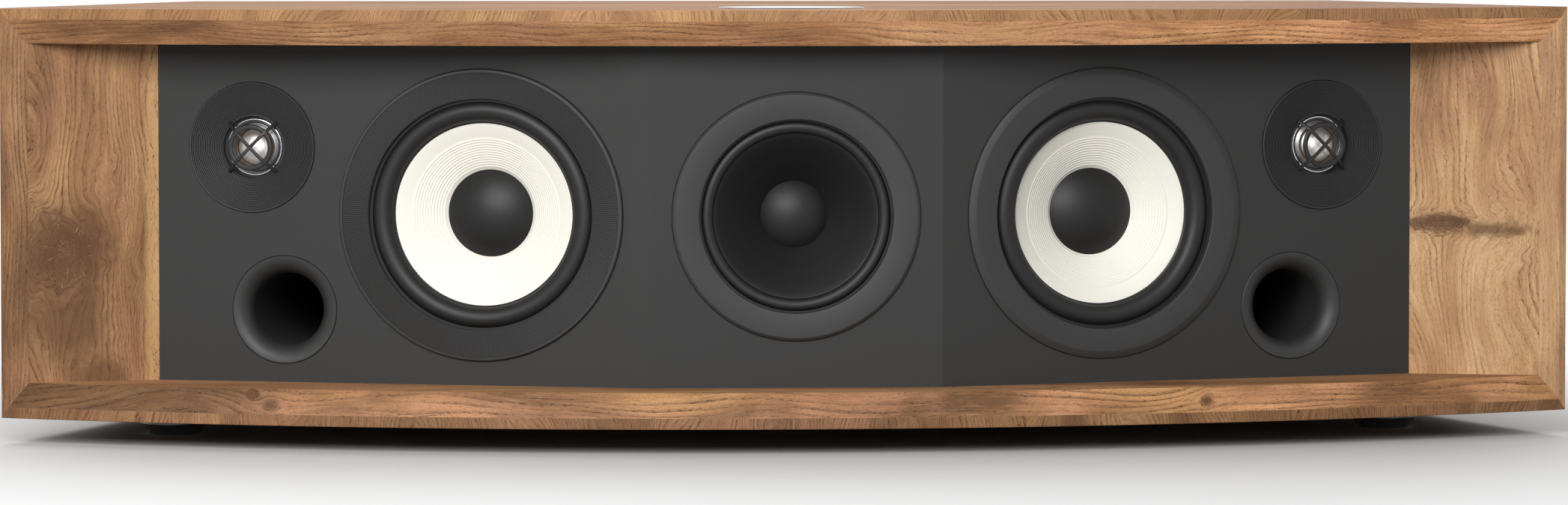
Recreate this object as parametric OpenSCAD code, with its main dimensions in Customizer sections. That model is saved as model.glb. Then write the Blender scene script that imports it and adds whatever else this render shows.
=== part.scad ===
// Wireless speaker: a long, low one-box stereo loudspeaker with a bowed front.
// Millimetres. The front faces -Y, +X is to the right seen from the front, +Z is up.
// The origin is on the surface that the feet stand on, under the middle of the box.

/* [Cabinet] */
// Width across the two front corners
cab_w = 760; // [700:1:840]
// Height of the wooden cabinet without its feet
cab_h = 197; // [190:1:260]
// Depth from the middle of the bowed front to the flat back
cab_d = 296; // [260:1:380]
// Width across the back
back_w = 594; // [540:1:660]
// Radius of the bowed front, seen from above
bow_r = 932; // [800:1:1400]
// Thickness of the top and bottom boards
board_t = 17; // [12:1:22]
// Thickness of the side boards
side_t = 12.5; // [10:0.5:18]
// Flat rim left on the front edge of the top and bottom boards
rim_w = 5.3; // [3:0.1:9]
// Depth of the bevel that runs from the rim into the opening
bevel_d = 5; // [2:0.5:8]
// Thickness of the rear panel
rear_t = 12; // [9:1:18]
// Set-back of the rear panel from the back edges of the boards
rear_set = 4; // [3.5:0.5:12]

/* [Baffle] */
// Set-back of the middle facet from the front of the bow
baffle_set = 31; // [20:1:45]
// Half width of the middle facet, as a share of the baffle's half width
facet_share = 0.2295; // [0.22:0.0005:0.245]
// Angle by which the side facets turn back
facet_angle = 15; // [8:1:18]
// Width of the wood seen between the baffle and a side board
cheek_w = 61.7; // [55:0.1:70]
// Thickness of the baffle
baffle_t = 15; // [12:1:20]
// Thickness of the wooden cheeks beside the baffle
cheek_t = 12; // [8:1:16]
// Thickness of the inner partitions
partition_t = 10; // [6:1:14]
// Clearance round each piece that drops into a rebate
seat_gap = 0.25; // [0.1:0.05:0.4]

/* [Woofers] */
// Distance of each woofer from the middle, as a share of the baffle's half width
woofer_share = 0.4908; // [0.486:0.0002:0.498]
// Outside diameter of the trim ring
woofer_ring_d = 139.6; // [132:0.1:144]
// Diameter of the trim ring's opening
woofer_open_d = 111; // [106:0.5:114]
// Visible diameter of the cone
woofer_cone_d = 87.4; // [82:0.1:90]
// Diameter of the dust cap
woofer_cap_d = 42; // [36:0.5:48]
// Outside diameter of the voice coil
woofer_coil_d = 26.4; // [22:0.1:30]
// Depth of the cone from its edge to the dust cap's rim
woofer_fall = 13; // [9:0.5:16]
// Diameter of the ferrite magnet
woofer_magnet_d = 84; // [70:1:90]

/* [Midrange] */
// Outside diameter of the trim ring
mid_ring_d = 118.4; // [112:0.1:124]
// Diameter of the trim ring's opening
mid_open_d = 92; // [88:0.5:94]
// Visible diameter of the cone
mid_cone_d = 77; // [72:0.1:79]
// Diameter of the dust cap
mid_cap_d = 32; // [28:0.5:36]
// Outside diameter of the voice coil
mid_coil_d = 20.4; // [18:0.1:24]
// Depth of the cone from its edge to the dust cap's rim
mid_fall = 15.5; // [11:0.5:17]
// Diameter of the ferrite magnet
mid_magnet_d = 72; // [60:1:80]

/* [Tweeters] */
// Distance of each tweeter from the middle, as a share of the baffle's half width
tweeter_share = 0.8508; // [0.84:0.0002:0.865]
// Height of the tweeters above the middle of the baffle
tweeter_up = 31.4; // [30:0.1:36]
// Diameter of the grooved faceplate
tweeter_plate_d = 62.7; // [58:0.1:66]
// How far the faceplate is dished
tweeter_dish = 2.5; // [1.5:0.1:3]
// Number of turned grooves in the faceplate
groove_count = 18; // [8:1:22]
// Diameter of the throat in the faceplate
throat_d = 30; // [29:0.5:32]
// Diameter of the metal dome
dome_d = 17.6; // [16:0.1:18.4]
// Height of the metal dome
dome_h = 4.2; // [3:0.1:4.6]

/* [Ports] */
// Distance of each bass port from the middle, as a share of the baffle's half width
port_share = 0.7997; // [0.78:0.0002:0.813]
// Height of the ports below the middle of the baffle
port_down = 46.6; // [45:0.1:50]
// Diameter of the port's mouth
port_mouth_d = 52; // [48:0.5:54]
// Inside diameter of the port tube
port_throat_d = 35; // [30:0.5:38]
// Length of the port tube behind the baffle's face
port_l = 105; // [60:1:125]

/* [Feet and controls] */
// Height of a foot
foot_h = 13; // [8:0.5:25]
// Diameter of a foot
foot_d = 34; // [26:1:44]
// Diameter of a foot where it meets the surface
foot_tip_d = 25; // [18:1:26]
// Distance of the front feet in from the front corners
foot_in = 80; // [75:1:110]
// Distance of the front feet behind the front of the bow
foot_back = 137; // [110:1:150]
// Diameter of the touch disc on top
touch_d = 70; // [50:1:90]
// Distance of the touch disc's middle behind the front edge
touch_back = 70; // [50:1:110]

/* [Hidden] */

// Fineness of small and large round faces
$fn = 72;
bow_fn = 720;
// Overshoot of a cut past the face that it opens
cut = 1;

// Levels and lines of the cabinet
floor_z = foot_h + board_t;
roof_z = foot_h + cab_h - board_t;
top_z = foot_h + cab_h;
mid_z = (floor_z + roof_z) / 2;
front_y = -cab_d / 2;
back_y = cab_d / 2;
bow_y = front_y + bow_r;
function bow_at(x) = bow_y - sqrt(bow_r * bow_r - x * x);
corner_y = bow_at(cab_w / 2);
side_angle = atan((cab_w - back_w) / 2 / (back_y - corner_y));
side_run = (back_y - corner_y) / cos(side_angle);
// A point given by its distances inward from and back along the outer face of the right side
function on_side(inward, back) = [
    cab_w / 2 - inward * cos(side_angle) - back * sin(side_angle),
    corner_y - inward * sin(side_angle) + back * cos(side_angle)
];
// The rim of a side board is to its thickness as the top rim is to the top board
side_rim = side_t * rim_w / board_t;
rim_x = cab_w / 2 - side_rim * cos(asin(cab_w / 2 / bow_r));
lip_x = cab_w / 2 - side_t * cos(asin(cab_w / 2 / bow_r));
rim_point = [rim_x, bow_at(rim_x)];
lip_back = (bow_at(lip_x) - corner_y + side_t * sin(side_angle)) / cos(side_angle) + bevel_d;
lip_point = on_side(side_t, lip_back);
function inner_half(y) = cab_w / 2 - side_t / cos(side_angle) - (y - corner_y) * tan(side_angle);

// Lines of the baffle, and places across it
baffle_half = lip_point[0] - cheek_w;
facet_half = facet_share * baffle_half;
woofer_u = woofer_share * baffle_half;
tweeter_u = tweeter_share * baffle_half;
port_u = port_share * baffle_half;
facet_y = front_y + baffle_set;
function facet_at(x) = facet_y + max(0, x - facet_half) * tan(facet_angle);
baffle_end_y = facet_at(baffle_half);
rear_in_y = back_y - rear_set - rear_t;

// Levels in a driver, measured forward from the baffle's face
rebate = 6;
flange_t = 3;
lip_t = 0.8;
lip_over = 4.5;
ring_proud = 2.2;
ring_edge = 1.2;
cone_t = 0.9;
rib_pitch = 1.2;
rib_h = 0.3;
woofer_edge = -6;
mid_edge = -4.5;
neck_drop = 4;
spider_drop = 7;
plate_top = -41;
coil_wall = 0.7;
magnet_gap = 0.7;
plate_thick = 5;
magnet_thick = 15;
yoke_thick = 6;
window_count = 6;
screw_r = 1.7;
screw_head_r = 3.2;
screw_head_h = 1.2;
screw_l = 10;
curve_power = 1.15;

// Height of a cone's face at a radius, steeper towards the neck
function cone_z(r, edge, edge_r, cap_r, fall) =
    edge - fall * pow(max(0, edge_r - r) / (edge_r - cap_r), curve_power);

module oak(tone) color(tone) children();

module mirrored_x() {
    children();
    mirror([1, 0, 0]) children();
}

module on_side_of(side) {
    if (side > 0) children();
    else mirror([1, 0, 0]) children();
}

// Places a child on the right or left facet, its Z axis square to the face
module on_facet(side, u, up) {
    translate([side * u, facet_at(u), mid_z + up])
        rotate([90, 0, side * facet_angle])
            children();
}

module on_middle() {
    translate([0, facet_y, mid_z])
        rotate([90, 0, 0])
            children();
}

module disc(r, low, high) {
    translate([0, 0, low]) cylinder(r = r, h = high - low);
}

module washer(r_out, r_in, low, high) {
    difference() {
        disc(r_out, low, high);
        disc(r_in, low - cut, high + cut);
    }
}

// Cabinet

// Extrudes an outline, drawn outward and up, along the outer face of the right side
module along_side() {
    translate([cab_w / 2, corner_y, 0])
        rotate([0, 0, side_angle])
            translate([0, side_run + side_t, 0])
                rotate([90, 0, 0])
                    linear_extrude(side_run + 2 * side_t)
                        children();
}

// Block from below the cabinet to above it, flat at the back
module back_block() {
    translate([-cab_w, front_y - side_t, 0]) cube([2 * cab_w, cab_d + side_t, top_z + board_t]);
}

module level_board() {
    difference() {
        intersection() {
            back_block();
            translate([0, bow_y, 0])
                rotate_extrude($fn = bow_fn)
                    polygon([
                        [0, roof_z], [bow_r - bevel_d, roof_z], [bow_r, top_z - rim_w],
                        [bow_r, top_z], [0, top_z]
                    ]);
        }
        mirrored_x()
            along_side()
                polygon([
                    [side_t, top_z + board_t], [-2 * side_t, roof_z - board_t],
                    [cab_w, roof_z - board_t], [cab_w, top_z + board_t]
                ]);
    }
}

module top_panel() oak("peru") {
    difference() {
        level_board();
        translate([0, front_y + touch_back, top_z - touch_t])
            cylinder(r = touch_d / 2 + seat_gap, h = touch_t + cut);
    }
}

module bottom_panel() oak("peru") {
    translate([0, 0, top_z + foot_h]) mirror([0, 0, 1]) level_board();
}

module side_panel(side) oak("peru") on_side_of(side) {
    along = lip_point - rim_point;
    difference() {
        intersection() {
            back_block();
            translate([0, bow_y, foot_h - cut]) cylinder(r = bow_r, h = cab_h + 2 * cut, $fn = bow_fn);
            along_side() polygon([[0, foot_h], [0, top_z], [-side_t, roof_z], [-side_t, floor_z]]);
        }
        translate([0, 0, foot_h - cut])
            linear_extrude(cab_h + 2 * cut)
                polygon([rim_point, rim_point + 1.5 * along, [lip_x - side_t, front_y], [rim_x, front_y]]);
    }
}

module cheek(side) oak("burlywood") on_side_of(side) {
    translate([0, 0, floor_z])
        linear_extrude(roof_z - floor_z)
            polygon([
                [baffle_half, baffle_end_y], lip_point, on_side(side_t, lip_back + cheek_t),
                [baffle_half, baffle_end_y + cheek_t]
            ]);
}

module partition(side) color("tan") on_side_of(side) {
    translate([0, 0, floor_z])
        linear_extrude(roof_z - floor_z)
            polygon([
                [facet_half, facet_y + baffle_t],
                [facet_half + partition_t, facet_at(facet_half + partition_t) + baffle_t],
                [facet_half + partition_t, rear_in_y],
                [facet_half, rear_in_y]
            ]);
}

module touch_disc() color("black") {
    translate([0, front_y + touch_back, top_z - touch_t])
        cylinder(r = touch_d / 2, h = touch_t);
}

touch_t = 2.5;
foot_band = 8;
foot_edge = 2;
rear_foot_y = back_y - foot_d - foot_edge;
rear_foot_u = back_w / 2 - foot_d - foot_edge / 2;
front_foot_y = front_y + foot_back;
foot_u = cab_w / 2 - foot_in;

module foot(x, y) color("black") {
    translate([x, y, 0]) {
        band = min(foot_band, foot_h - 2);
        translate([0, 0, foot_h - band]) cylinder(d = foot_d, h = band);
        cylinder(d1 = foot_tip_d, d2 = foot_d - 1, h = foot_h - band);
    }
}

// Baffle and rear panel

module driver_hole(ring_r, hole_r) {
    disc(ring_r + seat_gap, -rebate, cut);
    disc(hole_r, -2 * baffle_t, 0);
}

module screw_circle(bolt_r) {
    for (i = [0:3]) rotate([0, 0, 45 + 90 * i]) translate([bolt_r, 0, 0]) children();
}

module pilot_holes(bolt_r) {
    screw_circle(bolt_r) disc(screw_r, -rebate + flange_t - screw_head_h - screw_l, 0);
}

module front_baffle() color("dimgray") {
    difference() {
        translate([0, 0, floor_z])
            linear_extrude(roof_z - floor_z)
                polygon([
                    [-baffle_half, baffle_end_y], [-facet_half, facet_y],
                    [facet_half, facet_y], [baffle_half, baffle_end_y],
                    [baffle_half, baffle_end_y + baffle_t], [facet_half, facet_y + baffle_t],
                    [-facet_half, facet_y + baffle_t], [-baffle_half, baffle_end_y + baffle_t]
                ]);
        for (side = [-1, 1]) {
            on_facet(side, woofer_u, 0) driver_hole(woofer_ring_d / 2, basket_r(woofer_open_d) + 1);
            on_facet(side, woofer_u, 0) pilot_holes(bolt_r(woofer_ring_d, woofer_open_d));
            on_facet(side, tweeter_u, tweeter_up) disc(tweeter_plate_d / 2 + seat_gap, -plate_seat, cut);
            on_facet(side, tweeter_u, tweeter_up) disc(tweeter_body_r + 1, -2 * baffle_t, 0);
            on_facet(side, port_u, -port_down) disc(port_mouth_d / 2 + seat_gap, -port_flange, cut);
            on_facet(side, port_u, -port_down) disc(port_body_r + seat_gap, -2 * baffle_t, 0);
        }
        on_middle() driver_hole(mid_ring_d / 2, basket_r(mid_open_d) + 1);
        on_middle() pilot_holes(bolt_r(mid_ring_d, mid_open_d));
    }
}

tray_w = 124;
tray_h = 84;
tray_deep = 20;
tray_wall = 2.5;
tray_lip = 8;

module rear_panel() color("black") {
    difference() {
        translate([0, 0, floor_z])
            linear_extrude(roof_z - floor_z)
                polygon([
                    [-inner_half(rear_in_y), rear_in_y], [inner_half(rear_in_y), rear_in_y],
                    [inner_half(rear_in_y + rear_t), rear_in_y + rear_t],
                    [-inner_half(rear_in_y + rear_t), rear_in_y + rear_t]
                ]);
        translate([-tray_w / 2 - seat_gap, rear_in_y - cut, mid_z - tray_h / 2 - seat_gap])
            cube([tray_w + 2 * seat_gap, rear_t + 2 * cut, tray_h + 2 * seat_gap]);
        tray_screw_places() rotate([90, 0, 0]) cylinder(r = screw_r, h = screw_l + cut);
    }
}

// Moving-coil drivers, built round their own axis with Z forward

function basket_r(open_d) = open_d / 2 + 4.5;
function bolt_r(ring_d, open_d) = (ring_d + open_d) / 4 + lip_over / 2 + 0.4;
function neck_z(edge, cone_d, cap_d, coil_d, fall) =
    cone_z(coil_d / 2, edge, cone_d / 2, cap_d / 2, fall);

module trim_ring(ring_d, open_d) color("dimgray") {
    ring_r = ring_d / 2;
    open_r = open_d / 2;
    under = -rebate + flange_t;
    rotate_extrude()
        polygon([
            [open_r, under + lip_t], [open_r + lip_over, under + lip_t], [open_r + lip_over, under],
            [ring_r, under], [ring_r, ring_edge], [ring_r - ring_edge, ring_proud],
            [open_r + ring_edge, ring_proud - 0.6], [open_r, ring_proud - 0.6 - ring_edge]
        ]);
}

module basket(ring_d, open_d, magnet_d, spider_z) color("gray") {
    flange_r = ring_d / 2 - 0.8;
    hub_r = magnet_d / 2 - 1;
    wall_r = basket_r(open_d);
    wall = 2.5;
    floor_t = 3;
    shelf_r = hub_r - 8;
    difference() {
        rotate_extrude()
            union() {
                polygon([
                    [open_d / 2 + 0.5, -rebate], [open_d / 2 + 0.5, -rebate + flange_t],
                    [flange_r, -rebate + flange_t], [flange_r, -rebate]
                ]);
                polygon([
                    [wall_r - wall, -rebate + 0.5], [wall_r, -rebate + 0.5], [wall_r, -2 * rebate],
                    [hub_r, plate_top + rebate], [hub_r, plate_top], [hub_r - wall, plate_top],
                    [hub_r - wall, plate_top + rebate], [wall_r - wall, -2 * rebate]
                ]);
                translate([shelf_r - 6, plate_top]) square([hub_r - shelf_r + 5, floor_t]);
                translate([shelf_r - 6, plate_top]) square([wall, spider_z - plate_top]);
                translate([shelf_r - 6, spider_z - floor_t]) square([wall + 4, floor_t]);
            }
        for (i = [0:window_count - 1])
            rotate([0, 0, 360 / window_count * (i + 0.5)])
                translate([shelf_r + 1, -wall_r / 3.6, plate_top + rebate])
                    cube([wall_r, wall_r / 1.8, -2 * rebate - plate_top - rebate - 1]);
        screw_circle(bolt_r(ring_d, open_d)) {
            disc(screw_r + 0.3, -rebate - cut, 0);
            disc(screw_head_r + 0.2, -rebate + flange_t - screw_head_h, 0);
        }
    }
}

// Half-roll edge between the frame's flange and the cone
module roll_surround(open_d, cone_d, edge) color("black") {
    roll_in = cone_d / 2 + 1.6;
    roll_out = open_d / 2 - 0.4;
    roll_c = (roll_in + roll_out) / 2;
    roll_r = (roll_out - roll_in) / 2;
    roll_z = edge + lip_t;
    seat = -rebate + flange_t;
    lip_start = roll_c + sqrt(roll_r * roll_r - pow(seat + lip_t - roll_z, 2)) - lip_t;
    rotate_extrude()
        union() {
            difference() {
                translate([roll_c, roll_z]) circle(r = roll_r);
                translate([roll_c, roll_z]) circle(r = roll_r - lip_t);
                translate([roll_c, roll_z - 2 * roll_r]) square([2 * roll_r, 2 * roll_r + seat - roll_z]);
                translate([roll_c - 2 * roll_r, roll_z - 2 * roll_r - lip_t / 2])
                    square([2 * roll_r, 2 * roll_r]);
            }
            translate([lip_start, seat]) square([open_d / 2 + lip_over - seat_gap - lip_start, lip_t]);
            translate([cone_d / 2, edge]) square([roll_in + lip_t - cone_d / 2, lip_t]);
        }
}

module ribbed_cone(cone_d, cap_d, coil_d, edge, fall, ribs, tone) color(tone) {
    edge_r = cone_d / 2;
    cap_r = cap_d / 2;
    neck_r = coil_d / 2 + 0.05;
    rib_start = cap_r + 1;
    low = neck_z(edge, cone_d, cap_d, coil_d, fall);
    rim_r = edge_r + 1.6;
    smooth_n = 6;
    inner_n = 3;
    face = concat(
        [[rim_r, edge], [edge_r, edge]],
        [for (i = [1:smooth_n - 1])
            let (r = edge_r + (rib_start + ribs * rib_pitch - edge_r) * i / smooth_n)
                [r, cone_z(r, edge, edge_r, cap_r, fall)]],
        [for (i = [2 * ribs:-1:0])
            let (r = rib_start + i * rib_pitch / 2)
                [r, cone_z(r, edge, edge_r, cap_r, fall) + (i % 2) * rib_h]],
        [for (i = [1:inner_n])
            let (r = rib_start + (neck_r - rib_start) * i / inner_n)
                [r, cone_z(r, edge, edge_r, cap_r, fall)]]
    );
    back = [for (i = [0:smooth_n])
        let (r = neck_r + cone_t + (rim_r - neck_r - cone_t) * i / smooth_n)
            [r, cone_z(r, edge, edge_r, cap_r, fall) - 1.4 * cone_t]];
    rotate_extrude()
        polygon(concat(face, [[neck_r, low - neck_drop], [neck_r + cone_t, low - neck_drop]], back));
}

module dust_cap(cap_d, cone_d, edge, fall) color("black") {
    cap_r = cap_d / 2;
    rise = cap_r / 3;
    round_r = (cap_r * cap_r + rise * rise) / (2 * rise);
    seat = cone_z(cap_r, edge, cone_d / 2, cap_r, fall) + 0.05;
    rotate_extrude()
        intersection() {
            difference() {
                translate([0, seat + rise - round_r]) circle(r = round_r, $fn = 180);
                translate([0, seat + rise - round_r]) circle(r = round_r - cone_t, $fn = 180);
            }
            translate([0, seat]) square([cap_r + 1, rise + 1]);
        }
}

module voice_coil(coil_d, low, high) color("darkgoldenrod") {
    washer(coil_d / 2, coil_d / 2 - coil_wall, low, high);
}

module spider(coil_d, outer_r, z) color("khaki") {
    inner_r = coil_d / 2 + 0.05;
    waves = 5;
    steps = 4 * waves;
    sheet = 0.6;
    wave_h = 0.9;
    flat_w = 6.5;
    span = outer_r - flat_w - inner_r;
    profile = [for (i = [0:steps]) [inner_r + span * i / steps, z + sheet + wave_h * sin(90 * i)]];
    rotate_extrude()
        polygon(concat(
            [for (p = profile) [p[0], p[1] + sheet]],
            [[outer_r, z + 2 * sheet], [outer_r, z]],
            [[outer_r - flat_w, z]],
            [for (i = [steps:-1:0]) [profile[i][0], profile[i][1] - (i == steps ? sheet : 0)]]
        ));
}

// Ferrite ring between a gap plate and a yoke with its centre pole
module motor(coil_d, magnet_d, top) color("dimgray") {
    pole_r = coil_d / 2 - coil_wall - magnet_gap;
    washer(magnet_d / 2 - 2, coil_d / 2 + magnet_gap, top - plate_thick, top);
    washer(magnet_d / 2, coil_d / 2 + 5, top - plate_thick - magnet_thick, top - plate_thick);
    union() {
        disc(pole_r, top - plate_thick - magnet_thick - 1, top);
        disc(magnet_d / 2 - 2, top - plate_thick - magnet_thick - yoke_thick,
            top - plate_thick - magnet_thick);
    }
}

woofer_neck = neck_z(woofer_edge, woofer_cone_d, woofer_cap_d, woofer_coil_d, woofer_fall);
mid_neck = neck_z(mid_edge, mid_cone_d, mid_cap_d, mid_coil_d, mid_fall);
woofer_spider_z = woofer_neck - spider_drop;
mid_spider_z = mid_neck - spider_drop;
coil_below = 11;
woofer_ribs = 12;
mid_ribs = 8;

module woofer_trim_ring(side) on_facet(side, woofer_u, 0) trim_ring(woofer_ring_d, woofer_open_d);

module woofer_basket(side) on_facet(side, woofer_u, 0)
    basket(woofer_ring_d, woofer_open_d, woofer_magnet_d, woofer_spider_z);

module woofer_surround(side) on_facet(side, woofer_u, 0)
    roll_surround(woofer_open_d, woofer_cone_d, woofer_edge);

module woofer_cone(side) on_facet(side, woofer_u, 0)
    ribbed_cone(woofer_cone_d, woofer_cap_d, woofer_coil_d, woofer_edge, woofer_fall,
        woofer_ribs, "ivory");

module woofer_dust_cap(side) on_facet(side, woofer_u, 0)
    dust_cap(woofer_cap_d, woofer_cone_d, woofer_edge, woofer_fall);

module woofer_voice_coil(side) on_facet(side, woofer_u, 0)
    voice_coil(woofer_coil_d, plate_top - coil_below, woofer_neck);

module woofer_spider(side) on_facet(side, woofer_u, 0)
    spider(woofer_coil_d, woofer_magnet_d / 2 - 9, woofer_spider_z);

module woofer_motor(side) on_facet(side, woofer_u, 0)
    motor(woofer_coil_d, woofer_magnet_d, plate_top);

module mid_trim_ring() on_middle() trim_ring(mid_ring_d, mid_open_d);

module mid_basket() on_middle() basket(mid_ring_d, mid_open_d, mid_magnet_d, mid_spider_z);

module mid_surround() on_middle() roll_surround(mid_open_d, mid_cone_d, mid_edge);

module mid_cone() on_middle()
    ribbed_cone(mid_cone_d, mid_cap_d, mid_coil_d, mid_edge, mid_fall, mid_ribs, "black");

module mid_dust_cap() on_middle() dust_cap(mid_cap_d, mid_cone_d, mid_edge, mid_fall);

module mid_voice_coil() on_middle() voice_coil(mid_coil_d, plate_top - coil_below, mid_neck);

module mid_spider() on_middle() spider(mid_coil_d, mid_magnet_d / 2 - 9, mid_spider_z);

module mid_motor() on_middle() motor(mid_coil_d, mid_magnet_d, plate_top);

// Tweeters

plate_seat = 3;
plate_back = -7;
tweeter_body_r = 21.5;
land_w = 2.6;
groove_deep = 0.35;
throat_floor = -5;
bezel_out = 13.8;
bezel_in = 11.6;
dome_foot = -5.8;
dome_wall = 0.4;
coil_gap = 0.5;
guard_low = 3.2;
guard_t = 1.6;
guard_in = 8.1;
guard_out = 10.85;
bar_w = 2;
leg_r = 17;

module tweeter_faceplate(side) color("dimgray") on_facet(side, tweeter_u, tweeter_up) {
    plate_r = tweeter_plate_d / 2;
    throat_r = throat_d / 2;
    edge = 1;
    first = throat_r + land_w;
    pitch = (plate_r - edge - first) / groove_count;
    low = edge - tweeter_dish;
    rotate_extrude()
        polygon(concat(
            [[bezel_out + 0.05, plate_back], [bezel_out + 0.05, throat_floor], [throat_r, throat_floor],
             [throat_r, low], [first, low]],
            [for (i = [1:2 * groove_count - 1]) [first + i * pitch / 2, low + tweeter_dish * i / (2 * groove_count) - (i % 2) * groove_deep]],
            [[plate_r - edge, edge], [plate_r, edge / 2], [plate_r, -plate_seat],
             [tweeter_body_r, -plate_seat], [tweeter_body_r, plate_back]]
        ));
}

module tweeter_guard(side) color("black") on_facet(side, tweeter_u, tweeter_up) {
    foot_z = 1 - tweeter_dish;
    foot_in = throat_d / 2 + 0.4;
    washer(guard_out, guard_in, guard_low, guard_low + guard_t);
    for (i = [0:3])
        rotate([0, 0, 45 + 90 * i]) {
            translate([0, -bar_w / 2, guard_low + 0.3]) cube([guard_out, bar_w, guard_t - 0.3]);
            translate([0, bar_w / 2, 0])
                rotate([90, 0, 0])
                    linear_extrude(bar_w)
                        polygon([
                            [guard_out - 1, guard_low], [guard_out - 1, guard_low + guard_t],
                            [guard_out + 0.4, guard_low + guard_t], [leg_r, foot_z + 1],
                            [leg_r, foot_z], [foot_in, foot_z]
                        ]);
        }
}

module tweeter_bezel(side) color("silver") on_facet(side, tweeter_u, tweeter_up) {
    bead_r = 0.9;
    rotate_extrude()
        union() {
            translate([bezel_in, plate_back])
                square([bezel_out - bezel_in, throat_floor - 0.2 - plate_back]);
            intersection() {
                translate([bezel_out - bead_r, throat_floor - 0.2]) circle(r = bead_r);
                translate([bezel_in, throat_floor - 0.3]) square([bezel_out - bezel_in, 2 * bead_r]);
            }
        }
}

module tweeter_surround(side) color("peru") on_facet(side, tweeter_u, tweeter_up) {
    dome_r = dome_d / 2;
    rotate_extrude()
        polygon([
            [dome_r + 0.05, dome_foot], [dome_r + 0.05, dome_foot + 0.6],
            [(dome_r + bezel_in) / 2, dome_foot + 1.1], [bezel_in - 0.05, plate_back + 1],
            [bezel_in - 0.05, plate_back], [bezel_in - 0.8, plate_back], [bezel_in - 0.8, plate_back + 0.5],
            [(dome_r + bezel_in) / 2, dome_foot + 0.5]
        ]);
}

module tweeter_dome(side) color("silver") on_facet(side, tweeter_u, tweeter_up) {
    dome_r = dome_d / 2;
    round_r = (dome_r * dome_r + dome_h * dome_h) / (2 * dome_h);
    rotate_extrude()
        union() {
            intersection() {
                difference() {
                    translate([0, dome_foot + dome_h - round_r]) circle(r = round_r, $fn = 180);
                    translate([0, dome_foot + dome_h - round_r])
                        circle(r = round_r - dome_wall, $fn = 180);
                }
                translate([0, dome_foot]) square([dome_r + 1, dome_h + 1]);
            }
            translate([dome_r - 0.6, plate_back - 3]) square([0.6, dome_foot + 0.3 - plate_back + 3]);
        }
}

module tweeter_motor(side) color("dimgray") on_facet(side, tweeter_u, tweeter_up) {
    dome_r = dome_d / 2;
    can_r = tweeter_body_r - 1.5;
    washer(can_r, dome_r + coil_gap, plate_back - 4, plate_back);
    washer(can_r - 1, dome_r + 3, plate_back - 12, plate_back - 4);
    union() {
        disc(dome_r - 0.6 - coil_gap, plate_back - 13, plate_back - 0.5);
        disc(can_r, plate_back - 16, plate_back - 12);
    }
}

// Bass ports

port_wall = 2.2;
port_flange = 2;
port_lip = 0.6;
port_flare = (port_mouth_d - port_throat_d) / 2;
port_body_r = port_throat_d / 2 + 4.5;

module port(side) color("black") on_facet(side, port_u, -port_down) {
    mouth_r = port_mouth_d / 2;
    throat_r = port_throat_d / 2;
    flare_z = port_lip - port_flare;
    rotate_extrude()
        difference() {
            union() {
                translate([throat_r, -port_l]) square([port_wall, port_l]);
                translate([throat_r, flare_z - 2]) square([port_body_r - throat_r, -flare_z + 1]);
                translate([throat_r, -port_flange]) square([port_flare, port_flange + port_lip]);
            }
            difference() {
                translate([throat_r - cut, flare_z]) square([port_flare + cut, port_flare + cut]);
                translate([mouth_r, flare_z]) circle(r = port_flare);
            }
        }
}

// Connections at the back

socket_z = mid_z + 12;
socket_r = 4.15;
socket_gap = 18;
socket_l = 9;
inlet_w = 24;
inlet_h = 14;
inlet_r = 4.4;
inlet_gap = 7;
inlet_deep = 12;
inlet_x = -36;
sockets_x = 24;
tray_floor_y = back_y - rear_set - tray_deep;

module tray_screw_places() {
    for (x = [-1, 1])
        for (z = [-1, 1])
            translate([x * (tray_w / 2 + tray_lip / 2), rear_in_y + rear_t, mid_z + z * tray_h / 2 * 0.8])
                children();
}

module behind(x, z) {
    translate([x, tray_floor_y, z]) rotate([-90, 0, 0]) children();
}

module connector_panel() color("dimgray") {
    out_y = rear_in_y + rear_t;
    difference() {
        union() {
            translate([-tray_w / 2 - tray_lip, out_y, mid_z - tray_h / 2 - tray_lip])
                cube([tray_w + 2 * tray_lip, tray_wall, tray_h + 2 * tray_lip]);
            translate([-tray_w / 2, tray_floor_y - tray_wall, mid_z - tray_h / 2])
                cube([tray_w, tray_deep + tray_wall + cut, tray_h]);
        }
        translate([-tray_w / 2 + tray_wall, tray_floor_y, mid_z - tray_h / 2 + tray_wall])
            cube([tray_w - 2 * tray_wall, tray_deep + 2 * tray_wall, tray_h - 2 * tray_wall]);
        translate([inlet_x - inlet_w / 2, tray_floor_y - tray_wall - cut, socket_z - inlet_h / 2])
            cube([inlet_w, tray_wall + 2 * cut, inlet_h]);
        for (i = [0:1])
            behind(sockets_x + i * socket_gap, socket_z)
                disc(socket_r, -tray_wall - cut, cut);
        tray_screw_places() rotate([90, 0, 0]) disc(screw_r + 0.3, -tray_wall - cut, cut);
    }
}

module inlet_2d(r) {
    for (i = [-1, 1]) translate([i * inlet_gap / 2, 0]) circle(r = r);
    translate([-inlet_gap / 2, -r]) square([inlet_gap, 2 * r]);
}

module mains_inlet() color("black") {
    behind(inlet_x, socket_z) {
        difference() {
            translate([-inlet_w / 2 + 0.1, -inlet_h / 2 + 0.1, -inlet_deep - 2])
                cube([inlet_w - 0.2, inlet_h - 0.2, inlet_deep + 4]);
            translate([0, 0, -inlet_deep]) linear_extrude(inlet_deep + 3) inlet_2d(inlet_r);
        }
        for (i = [-1, 1]) translate([i * inlet_gap / 2, 0, 0]) disc(1.2, -inlet_deep - 1, -2);
    }
}

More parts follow.
